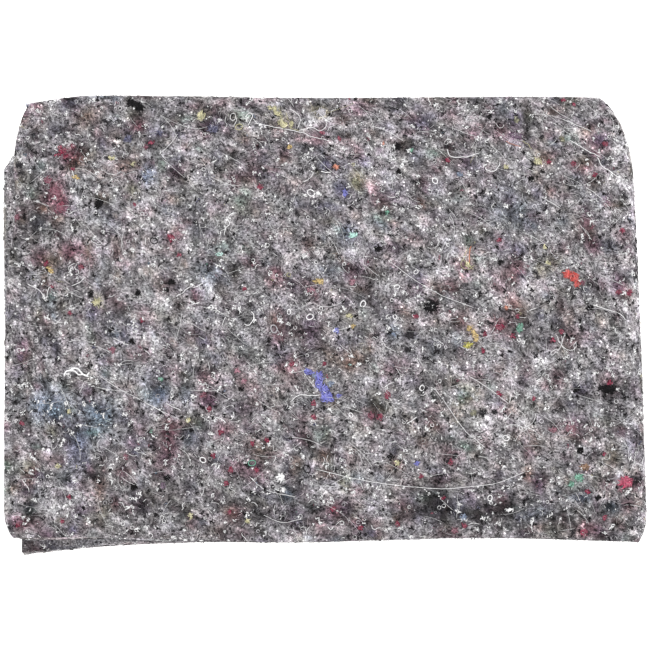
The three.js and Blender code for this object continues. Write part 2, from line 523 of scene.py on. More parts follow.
@dataclass
class FoldedSheet:
    """The sheet of felt, folded back and forth across its width and then along its length."""

    width: float = 1320
    length: float = 1865
    thickness: float = 2.2
    ply_gap: float = 0.6
    layer_gap: float = 0.8
    swing_span: float = 200
    swing_power: float = 1.5
    front_wave: EdgeWave = EdgeWave(1.7, 300, -30)
    back_wave: EdgeWave = EdgeWave(0.9, 375, -177)
    back_left_slope: EdgeSlope = EdgeSlope(6.6, 48, 1.25)
    edge_wander: float = 0.9
    wander_length: tuple[float, float] = (60, 240)
    wander_waves: int = 3
    sag: Relief = Relief(0.011, 48, 14)
    lumps: Relief = Relief(0.2, 9, 15)
    lump_fade: float = 0.03
    shown_run_steps: int = 140
    hidden_run_steps: int = 12
    base_run_steps: int = 26
    shown_ply_steps: int = 100
    hidden_ply_steps: int = 10
    ply_fold_steps: int = 7
    layer_fold_steps: int = 12
    ply_crowding: float = 0.5
    run_crowding: float = 0.35
    smooth_angle: float = 50
    seed: int = 11
    piece: bpy.types.Object | None = None

    def __post_init__(self) -> None:
        """Works out what follows from the cut."""
        self.plies = len(STRIP_EDGES) - 1
        self.ply_pitch = self.thickness + self.ply_gap
        self.strip_height = self.plies * self.thickness + (self.plies - 1) * self.ply_gap
        self.layer_pitch = self.strip_height + self.layer_gap
        folds = len(LAYERS) - 1
        self.ply_run = (self.width - (self.plies - 1) * math.pi * self.ply_pitch / 2) / self.plies
        self.layer_run = (self.length - folds * math.pi * self.layer_pitch / 2) / len(LAYERS)
        self.half_depth = self.ply_run / 2
        self.half_width = self.layer_run / 2

    @staticmethod
    def side(number: int) -> int:
        """-1 for an even turn or edge, which lies at the left or the front, and 1 for an odd one."""
        return 1 if number % 2 else -1

    def turn_place(self, index: int, y: np.ndarray) -> np.ndarray:
        """The X of an end of the strip, or of the middle that a turn is bent round.

        Args:
            index: the turn's number from the bottom.
            y: places across the strip.

        Returns:
            The X at each place.
        """
        turn = TURNS[index]
        lean = -turn.lean * y / self.ply_run
        corners = turn.back.draw(self.half_depth - y) + turn.front.draw(self.half_depth + y)
        out = self.half_width + turn.reach + lean - corners - turn.dent.draw(y)
        return self.side(index) * out

    @staticmethod
    def crowded(steps: int, crowd: float) -> np.ndarray:
        """Shares of a run from 0 to 1, closer together at its two ends."""
        even = np.linspace(0, 1, steps + 1)
        return even - crowd * np.sin(2 * math.pi * even) / (2 * math.pi)

    def section(self) -> list[tuple[int, float, float | None]]:
        """The strip's section from the outer cut edge to the inner one.

        Returns:
            Rows of a ply, a share of the way along it, and None or an angle round its fold.
        """
        rows = []
        for ply in range(self.plies):
            steps = self.shown_ply_steps if ply == 0 else self.hidden_ply_steps
            rows += [(ply, share, None) for share in self.crowded(steps, self.ply_crowding)]
            if ply + 1 < self.plies:
                angles = np.linspace(-math.pi / 2, math.pi / 2, self.ply_fold_steps + 1)[1:-1]
                rows += [(ply, 1.0, angle) for angle in angles]
        return rows

    def stations(self) -> list[tuple[int, float, float | None]]:
        """The stations along the folded strip, from the lower end to the upper one.

        Returns:
            Rows of a layer, a share of the way along it, and None or an angle round the turn after it.
        """
        rows = []
        last = len(LAYERS) - 1
        for layer in range(len(LAYERS)):
            steps = self.hidden_run_steps
            if layer == last:
                steps = self.shown_run_steps
            elif layer == 0:
                steps = self.base_run_steps
            rows += [(layer, share, None) for share in self.crowded(steps, self.run_crowding)]
            if layer < last:
                angles = np.linspace(-math.pi / 2, math.pi / 2, self.layer_fold_steps + 1)[1:-1]
                rows += [(layer, 1.0, angle) for angle in angles]
        return rows

    def settle(self, x: np.ndarray, y: np.ndarray, z: np.ndarray, level: float) -> np.ndarray:
        """Moves points of the even stack to where the uneven one has them.

        Args:
            x, y, z: the points.
            level: the layer that they are in, or between.

        Returns:
            The points, in rows of three.
        """
        numbers = range(len(LAYERS))
        swing = np.interp(level, numbers, [layer.swing for layer in LAYERS])
        shift = np.interp(level, numbers, [layer.shift for layer in LAYERS])
        swung = np.maximum(0, 1 - (x + self.half_width) / self.swing_span)
        across = y / self.half_depth
        front = self.front_wave.at(x) * np.maximum(0, -across)
        slope = self.back_left_slope.at(x + self.half_width)
        back = (self.back_wave.at(x) - slope) * np.maximum(0, across)
        moved = y + shift - swing * swung ** self.swing_power - front + back
        gain = self.sag.at(x, y) + sum(crease.at(x, y) for crease in CREASES)
        for change in HEIGHT_CHANGES:
            far = ((x - change.x) ** 2 + (y - change.y) ** 2) / change.spread ** 2
            gain = gain + change.gain * np.exp(-far)
        return np.stack([x, moved, z * (1 + gain)], axis=-1)

    def folded_points(self) -> np.ndarray:
        """Folds the flat cut.

        Returns:
            The middle of the cloth in metres, by station along the strip and by row of its section.
        """
        rng = np.random.default_rng(self.seed)
        section = self.section()
        stations = self.stations()
        lengths = rng.uniform(*self.wander_length, (len(STRIP_EDGES), self.wander_waves))
        phases = rng.uniform(0, 2 * math.pi, lengths.shape)
        ply = np.array([row[0] for row in section])
        share = np.array([row[1] for row in section])
        angle = np.array([np.nan if row[2] is None else row[2] for row in section])
        bent = ~np.isnan(angle)
        turned = np.where(bent, angle, 0.0)
        sides = np.array([self.side(i) for i in range(len(STRIP_EDGES))])
        level = (ply - (self.plies - 1) / 2) * self.ply_pitch
        w = np.where(bent, level + (1 + np.sin(turned)) * self.ply_pitch / 2, level)
        bulge = np.where(bent, sides[ply + 1] * np.cos(turned) * self.ply_pitch / 2, 0.0)
        set_back = np.array([edge.set_back for edge in STRIP_EDGES])
        points = np.empty((len(stations), len(section), 3))
        for i, (layer, run, turning) in enumerate(stations):
            along = (layer + run) * self.layer_run
            wander = np.sin(2 * math.pi * along / lengths + phases).sum(axis=1) * self.edge_wander / 2
            edges = sides * (self.half_depth - set_back) + wander * (set_back > 0)
            y = edges[ply] + (edges[ply + 1] - edges[ply]) * share + bulge
            if turning is None:
                x = self.turn_place(layer, y) * (1 - run) + self.turn_place(layer + 1, y) * run
                z = self.strip_height / 2 + layer * self.layer_pitch + self.side(layer + 1) * w
                if layer == len(LAYERS) - 1:
                    inside = np.minimum(run * (1 - run), share * (1 - share)) / self.lump_fade
                    z = z + self.lumps.at(x, y) * np.minimum(1, inside) * (ply == 0) * ~bent
                points[i] = self.settle(x, y, z, layer)
            else:
                side = self.side(layer + 1)
                radius = self.layer_pitch / 2 - side * w
                x = self.turn_place(layer + 1, y) + side * radius * math.cos(turning)
                z = self.strip_height / 2 + (layer + 0.5) * self.layer_pitch + radius * math.sin(turning)
                points[i] = self.settle(x, y, z, layer + 0.5 + turning / math.pi)
        return points * MM

    def build(self) -> bpy.types.Object:
        """Adds the flat cut as a grid, folds it, gives it its thickness and loosens its surface.

        Returns:
            The sheet.
        """
        points = self.folded_points()
        along, across = points.shape[0] - 1, points.shape[1] - 1
        bpy.ops.object.select_all(action="DESELECT")
        bpy.ops.mesh.primitive_grid_add(x_subdivisions=along, y_subdivisions=across, size=1)
        self.piece = bpy.context.object
        self.piece.name = "felt_sheet"
        mesh = self.piece.data
        flat = np.empty(3 * len(mesh.vertices))
        mesh.vertices.foreach_get("co", flat)
        flat = flat.reshape(-1, 3) + 0.5
        station = np.rint(flat[:, 0] * along).astype(int)
        row = np.rint(flat[:, 1] * across).astype(int)
        mesh.vertices.foreach_set("co", points[station, row].ravel())
        mesh.update()
        solid = self.piece.modifiers.new("thickness", "SOLIDIFY")
        solid.thickness = self.thickness * MM
        solid.offset = 0
        bpy.ops.object.modifier_apply(modifier=solid.name)
        bpy.ops.object.mode_set(mode="EDIT")
        bpy.ops.mesh.select_all(action="SELECT")
        bpy.ops.mesh.normals_make_consistent(inside=False)
        bpy.ops.object.mode_set(mode="OBJECT")
        bpy.ops.object.shade_smooth_by_angle(angle=math.radians(self.smooth_angle))
        self.stand_in_frame()
        return self.piece

    def stand_in_frame(self) -> None:
        """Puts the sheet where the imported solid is, by the middles of their boxes and their bases."""
        mesh = self.piece.data
        places = np.empty(3 * len(mesh.vertices))
        mesh.vertices.foreach_get("co", places)
        places = places.reshape(-1, 3)
        low, high = (np.array(corner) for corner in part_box(CLOTH_NODE))
        move = (low + high) / 2 - (places.min(axis=0) + places.max(axis=0)) / 2
        move[2] = low[2] - places[:, 2].min()
        mesh.vertices.foreach_set("co", (places + move).ravel())
        mesh.update()

    def dress(self, finish: FeltFinish, pieces: Sequence[bpy.types.Object]) -> None:
        """Gives the sheet its felt, puts it under the body and hides the imported cloth.

        Args:
            finish: the felt.
            pieces: what lies on the sheet; not used.
        """
        self.piece.data.materials.clear()
        self.piece.data.materials.append(finish.material())
        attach(self.piece, BODY)
        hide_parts(CLOTH_NODE)
        list(pieces)


@dataclass
class Studio:
    """The pale floor, the soft light and the camera that looks down on the cloth."""

    elevation: float = 84
    distance: float = 1.24
    lens_mm: float = 91.4
    sensor_mm: float = 36
    target: tuple[float, float, float] = (0.0034, -0.00075, 0.022)
    near_clip: float = 0.05
    floor_size: float = 6
    floor_height: float = -0.5 * MM
    floor_colour: str = "#F4F3F2"
    floor_roughness: float = 0.9
    floor_glow: float = 0.8
    sky: float = 1.165
    lamp_place: tuple[float, float, float] = (-0.15, 0.45, 1.7)
    lamp_size: float = 1.8
    lamp_power: float = 17
    camera: bpy.types.Object | None = None

    def build(self) -> None:
        """Adds the camera, the floor and the lights."""
        self.add_camera()
        self.add_floor()
        self.add_light()

    def add_camera(self) -> None:
        """Adds the camera at the picture's angle."""
        tilt = math.radians(self.elevation)
        back = Vector((0, -math.cos(tilt), math.sin(tilt)))
        bpy.ops.object.select_all(action="DESELECT")
        bpy.ops.object.camera_add(location=Vector(self.target) + self.distance * back)
        self.camera = bpy.context.object
        self.camera.rotation_euler = (-back).to_track_quat("-Z", "Y").to_euler()
        self.camera.data.lens = self.lens_mm
        self.camera.data.sensor_width = self.sensor_mm
        self.camera.data.clip_start = self.near_clip
        bpy.context.scene.camera = self.camera
        bpy.context.view_layer.update()

    def add_floor(self) -> None:
        """Adds the floor, which is plain and pale."""
        bpy.ops.object.select_all(action="DESELECT")
        bpy.ops.mesh.primitive_plane_add(size=self.floor_size, location=(0, 0, self.floor_height))
        floor = bpy.context.object
        floor.name = "studio_floor"
        bpy.ops.object.transform_apply(location=True, rotation=False, scale=False)
        # White paint on a light table: no gloss, and a glow that takes the shadow away.
        material, tree = new_material("matt_white_paint")
        white = linear(self.floor_colour)
        shader = add_node(tree, "ShaderNodeBsdfPrincipled",
                          {"Base Color": white, "Roughness": self.floor_roughness,
                           "Emission Color": white, "Emission Strength": self.floor_glow})
        add_node(tree, "ShaderNodeOutputMaterial", links={"Surface": shader.outputs[0]})
        floor.data.materials.append(material)

    def add_light(self) -> None:
        """Adds an even sky and one broad soft light above."""
        scene = bpy.context.scene
        scene.view_settings.view_transform = "Standard"
        world = bpy.data.worlds.new("soft_studio")
        world.use_nodes = True
        background = world.node_tree.nodes["Background"]
        background.inputs["Color"].default_value = (1, 1, 1, 1)
        background.inputs["Strength"].default_value = self.sky
        scene.world = world
        bpy.ops.object.light_add(type="AREA", location=self.lamp_place)
        lamp = bpy.context.object
        lamp.rotation_euler = (Vector((0, 0, 0)) - lamp.location).to_track_quat("-Z", "Y").to_euler()
        lamp.data.shape = "DISK"
        lamp.data.size = self.lamp_size
        lamp.data.energy = self.lamp_power

    def cast(self, tree: BVHTree, px: float, py: float) -> tuple[np.ndarray, np.ndarray] | None:
        """Casts a pixel of the picture on to the cloth.

        Args:
            tree: the cloth's faces.
            px: pixels from the picture's left side.
            py: pixels from its top.

        Returns:
            The place and the cloth's normal there, or None where the pixel misses the cloth.
        """
        focus = self.lens_mm / self.sensor_mm * PICTURE_SIDE
        middle = PICTURE_SIDE / 2
        ray = Vector(((px - middle) / focus, (middle - py) / focus, -1))
        world = self.camera.matrix_world
        place, normal, _, _ = tree.ray_cast(world.translation, (world.to_3x3() @ ray).normalized())
        if place is None:
            return None
        return np.array(place), np.array(normal)


@dataclass(frozen=True)
class Patch:
    """A patch of the felt, most of them cloudy and some of painted light and shade: its place in the
    picture, its half sizes in millimetres, how much lighter or darker it is, and the share of its fibres
    that are dyed."""

    px: float
    py: float
    wide: float
    tall: float
    light: float = 0.0
    share: float = 0.0


@dataclass(frozen=True)
class Fleck:
    """A scrap of shredded textile: its dye, its place in the picture and its size in millimetres."""

    dye: Dye
    px: float
    py: float
    size: float = 4.0
    stretch: float = 1.0
    turn: float = 0.0


@dataclass(frozen=True)
class Pixel:
    """A place in the picture."""

    px: float
    py: float


def route(*places: float) -> tuple[Pixel, ...]:
    """Pairs up the places of a thread, each given as its px and py."""
    return tuple(Pixel(px, py) for px, py in zip(places[::2], places[1::2]))


@dataclass(frozen=True)
class Thread:
    """A loose thread through places in the picture, with its width in millimetres."""

    dye: Dye
    width: float
    route: tuple[Pixel, ...]


@dataclass(frozen=True)
class Ring:
    """A curled-up thread end: its place in the picture, its size across and its width in millimetres."""

    dye: Dye
    px: float
    py: float
    size: float
    width: float = 1.0


# The felt's patches by dye. The grey ones aren't dyed, and are only lighter or darker in cloudy patches.
# Among them are painted light and shade. The painted light is lighter rims down the right and left edges,
# where the rolled folds face the bright surround. The painted shade lies along the front edge, on the
# lower layers that show below it and in a line beside the right fold.
PATCHES: dict[Dye, tuple[Patch, ...]] = {
    Dye.GREY: (
        Patch(610, 125, 13, 14, 0.22), Patch(410, 155, 20, 13, 0.2), Patch(45, 155, 16, 12, 0.18),
        Patch(277, 185, 20, 12, 0.2), Patch(295, 255, 12, 18, 0.2), Patch(15, 285, 10, 36, -0.28),
        Patch(75, 290, 18, 24, -0.18), Patch(225, 295, 14, 20, 0.17), Patch(425, 285, 18, 18, 0.22),
        Patch(530, 285, 18, 18, 0.19), Patch(610, 275, 10, 10, -0.16), Patch(205, 345, 18, 16, 0.2),
        Patch(295, 320, 10, 18, 0.15), Patch(575, 365, 12, 10, -0.16), Patch(80, 400, 18, 16, 0.26),
        Patch(400, 395, 12, 10, -0.2), Patch(155, 425, 12, 10, 0.14), Patch(505, 425, 12, 10, 0.18),
        Patch(612, 428, 12, 12, -0.28), Patch(12, 460, 10, 18, -0.28), Patch(470, 468, 12, 16, -0.18),
        Patch(330, 470, 12, 18, 0.17), Patch(540, 487, 12, 10, -0.2), Patch(643, 495, 6, 18, 0.22),
        Patch(155, 517, 12, 10, -0.22), Patch(260, 515, 14, 10, 0.18), Patch(100, 546, 30, 6, -0.26),
        Patch(48, 546, 10, 5, -0.3), Patch(150, 270, 14, 75, 0.14), Patch(490, 400, 30, 26, 0.19),
        Patch(460, 262, 34, 16, 0.14), Patch(365, 175, 18, 30, 0.14), Patch(611, 165, 12, 40, 0.22),
        Patch(295, 258, 14, 20, 0.14), Patch(545, 290, 14, 20, 0.14), Patch(335, 480, 14, 12, 0.17),
        Patch(640, 490, 8, 24, 0.24), Patch(25, 230, 16, 18, -0.24), Patch(310, 385, 26, 34, -0.12),
        # Painted shade: the front of the top is darker where it turns down to the front edge.
        Patch(165, 495, 38, 24, -0.34), Patch(488, 515, 62, 20, -0.43), Patch(278, 508, 50, 22, -0.29),
        # Painted shade beside the right fold and at the front right corner, then a broad darker patch at
        # the back left.
        Patch(612, 414, 12, 20, -0.24), Patch(612, 520, 20, 12, -0.24), Patch(95, 132, 44, 16, -0.18),
        # Lighter at the back left corner's tip. The rest, down to the one at (5, 380), are painted light:
        # lighter rims down the right and left edges.
        Patch(31, 106, 7, 6, 0.48), Patch(646, 480, 6, 40, 0.48), Patch(641, 380, 6, 50, 0.42),
        Patch(635, 250, 6, 50, 0.42), Patch(629, 170, 6, 26, 0.42), Patch(617, 122, 7, 12, 0.36),
        Patch(5, 240, 5, 50, 0.36), Patch(5, 380, 4, 70, 0.24), Patch(45, 195, 16, 40, -0.22),
        Patch(430, 215, 16, 12, -0.14), Patch(362, 305, 14, 12, -0.19), Patch(300, 335, 24, 14, -0.14),
        Patch(155, 440, 16, 20, -0.17), Patch(215, 400, 20, 22, -0.1), Patch(245, 155, 24, 14, -0.1),
        Patch(155, 118, 14, 12, -0.18), Patch(37, 227, 8, 8, -0.72), Patch(35, 219, 5, 4, -0.48),
        Patch(137, 107, 9, 7, -0.36), Patch(165, 118, 12, 6, -0.24), Patch(438, 505, 12, 12, -0.84),
        Patch(437, 488, 8, 8, -0.42), Patch(510, 508, 10, 9, -0.6), Patch(470, 515, 22, 8, -0.36),
        Patch(560, 520, 30, 9, -0.3), Patch(513, 220, 9, 9, -0.48), Patch(413, 193, 9, 7, -0.36),
        Patch(527, 333, 11, 8, -0.42), Patch(590, 307, 9, 7, -0.48), Patch(607, 397, 11, 8, -0.54),
        Patch(320, 207, 9, 7, -0.42), Patch(193, 227, 10, 9, -0.3), Patch(363, 255, 9, 8, -0.36),
        Patch(370, 300, 9, 12, -0.34), Patch(293, 340, 22, 12, -0.18), Patch(200, 440, 10, 10, -0.42),
        Patch(140, 507, 14, 8, -0.42), Patch(427, 347, 7, 6, -0.42), Patch(433, 310, 8, 7, -0.24),
        Patch(513, 430, 13, 10, 0.72), Patch(495, 415, 16, 12, 0.24), Patch(480, 390, 20, 12, 0.14),
        Patch(343, 483, 9, 8, 0.72), Patch(327, 118, 5, 14, 0.54), Patch(450, 262, 14, 8, 0.36),
        Patch(480, 250, 6, 8, 0.3), Patch(550, 275, 8, 10, 0.34), Patch(535, 280, 12, 8, 0.24),
        Patch(370, 165, 8, 12, 0.3), Patch(365, 225, 8, 6, 0.3), Patch(145, 215, 8, 7, 0.36),
        Patch(190, 125, 5, 10, 0.3), Patch(175, 160, 5, 10, 0.3), Patch(162, 195, 5, 10, 0.3),
        Patch(150, 340, 10, 8, 0.24), Patch(80, 385, 10, 8, 0.3), Patch(180, 410, 9, 6, 0.36),
        Patch(604, 330, 7, 12, 0.36), Patch(625, 290, 6, 8, 0.36), Patch(60, 500, 20, 10, 0.14),
    ),
    Dye.MAROON: (
        Patch(41, 547, 3, 5, 0, 0.8), Patch(57, 197, 8, 12, 0, 0.7), Patch(73, 250, 12, 6, 0, 0.6),
        Patch(40, 257, 9, 6, 0, 0.5), Patch(277, 333, 6, 9, 0, 0.55), Patch(207, 400, 7, 7, 0, 0.6),
        Patch(169, 447, 7, 13, 0, 0.6), Patch(237, 467, 9, 7, 0, 0.4), Patch(337, 510, 9, 7, 0, 0.5),
        Patch(20, 523, 6, 6, 0, 0.5), Patch(450, 457, 7, 8, 0, 0.4), Patch(590, 530, 12, 6, 0, 0.5),
        Patch(600, 143, 8, 6, 0, 0.5), Patch(583, 167, 10, 6, 0, 0.5),
    ),
    Dye.RED: (
        Patch(70, 157, 7, 6, 0, 0.35), Patch(54, 190, 6, 8, 0, 0.2), Patch(90, 258, 6, 5, 0, 0.25),
        Patch(293, 370, 7, 8, 0, 0.35), Patch(223, 430, 6, 6, 0, 0.3), Patch(500, 327, 10, 7, 0, 0.45),
        Patch(443, 160, 6, 5, 0, 0.25),
    ),
    Dye.ROSE: (
        Patch(172, 238, 6, 6, 0, 0.5), Patch(253, 176, 6, 8, 0, 0.6), Patch(277, 278, 9, 6, 0, 0.4),
        Patch(310, 288, 11, 5, 0, 0.5), Patch(353, 273, 7, 7, 0.06, 0.65),
        Patch(243, 380, 7, 6, 0.06, 0.4), Patch(397, 367, 8, 6, 0, 0.35), Patch(373, 417, 7, 7, 0, 0.6),
        Patch(257, 473, 8, 7, 0, 0.45), Patch(237, 513, 8, 6, 0, 0.45), Patch(357, 523, 7, 4, 0, 0.4),
        Patch(30, 480, 5, 8, 0, 0.4), Patch(47, 537, 6, 5, 0, 0.3), Patch(433, 413, 7, 8, 0, 0.35),
        Patch(507, 277, 9, 7, 0, 0.4), Patch(500, 240, 6, 5, 0, 0.4), Patch(620, 288, 6, 8, 0, 0.5),
        Patch(623, 237, 6, 6, 0, 0.4), Patch(573, 338, 10, 8, 0, 0.45), Patch(607, 380, 6, 6, 0, 0.3),
        Patch(570, 430, 9, 6, 0.06, 0.55), Patch(417, 240, 8, 6, 0, 0.3), Patch(353, 110, 9, 5, 0, 0.4),
        Patch(447, 120, 6, 6, 0, 0.25), Patch(147, 320, 8, 7, 0, 0.35),
    ),
    Dye.BROWN: (
        Patch(87, 117, 10, 6, 0.06, 0.5), Patch(47, 263, 6, 5, 0, 0.3), Patch(350, 360, 9, 8, 0, 0.45),
        Patch(397, 467, 7, 6, 0, 0.45), Patch(517, 307, 8, 6, 0, 0.45), Patch(530, 440, 12, 10, 0, 0.25),
        Patch(543, 160, 7, 6, 0, 0.4), Patch(123, 167, 12, 7, 0, 0.3),
    ),
    Dye.PURPLE: (
        Patch(313, 330, 9, 8, 0, 0.55), Patch(514, 139, 9, 5, 0, 0.4), Patch(137, 180, 10, 6, 0, 0.25),
        Patch(23, 353, 5, 8, 0, 0.45),
    ),
    Dye.STEEL: (
        Patch(52, 408, 17, 12, 0, 0.65), Patch(102, 415, 12, 11, 0, 0.6), Patch(157, 397, 9, 8, 0, 0.45),
        Patch(90, 435, 14, 14, 0, 0.25), Patch(347, 233, 7, 7, 0, 0.5), Patch(210, 273, 10, 9, 0, 0.4),
        Patch(513, 210, 16, 10, 0, 0.35), Patch(393, 333, 6, 6, 0, 0.4), Patch(110, 220, 10, 8, 0, 0.25),
        Patch(540, 513, 12, 8, 0, 0.25),
    ),
    Dye.NAVY: (
        Patch(77, 453, 8, 14, 0, 0.5), Patch(137, 443, 9, 7, 0, 0.35), Patch(343, 190, 7, 7, 0, 0.6),
        Patch(500, 185, 12, 8, 0, 0.2), Patch(457, 507, 12, 8, 0, 0.4), Patch(217, 123, 8, 6, 0, 0.5),
        Patch(157, 133, 7, 6, 0, 0.35),
    ),
    Dye.OLIVE: (
        Patch(190, 422, 6, 5, 0, 0.4), Patch(570, 101, 10, 4, 0, 0.3), Patch(207, 117, 9, 5, 0, 0.45),
        Patch(357, 180, 6, 6, 0, 0.45), Patch(550, 263, 7, 6, 0, 0.4), Patch(350, 317, 7, 6, 0, 0.35),
        Patch(477, 407, 9, 10, 0, 0.3), Patch(613, 460, 10, 10, 0, 0.3), Patch(103, 513, 10, 8, 0, 0.3),
    ),
    Dye.GREEN: (
        Patch(575, 482, 6, 6, 0, 0.35), Patch(247, 200, 8, 8, 0, 0.35), Patch(223, 247, 6, 6, 0, 0.3),
        Patch(383, 217, 7, 8, 0, 0.35), Patch(243, 117, 5, 5, 0, 0.3), Patch(563, 140, 7, 5, 0, 0.3),
    ),
    Dye.YELLOW: (
        Patch(321, 111, 5, 5, 0.25, 0.8), Patch(357, 181, 6, 6, 0.25, 0.8),
        Patch(277, 117, 9, 7, 0.18, 0.4), Patch(97, 300, 5, 5, 0, 0.25),
    ),
    Dye.GOLD: (
        Patch(473, 340, 5, 8, 0, 0.3),
    ),
    Dye.ORANGE: (
        Patch(470, 260, 6, 9, 0, 0.2),
    ),
}

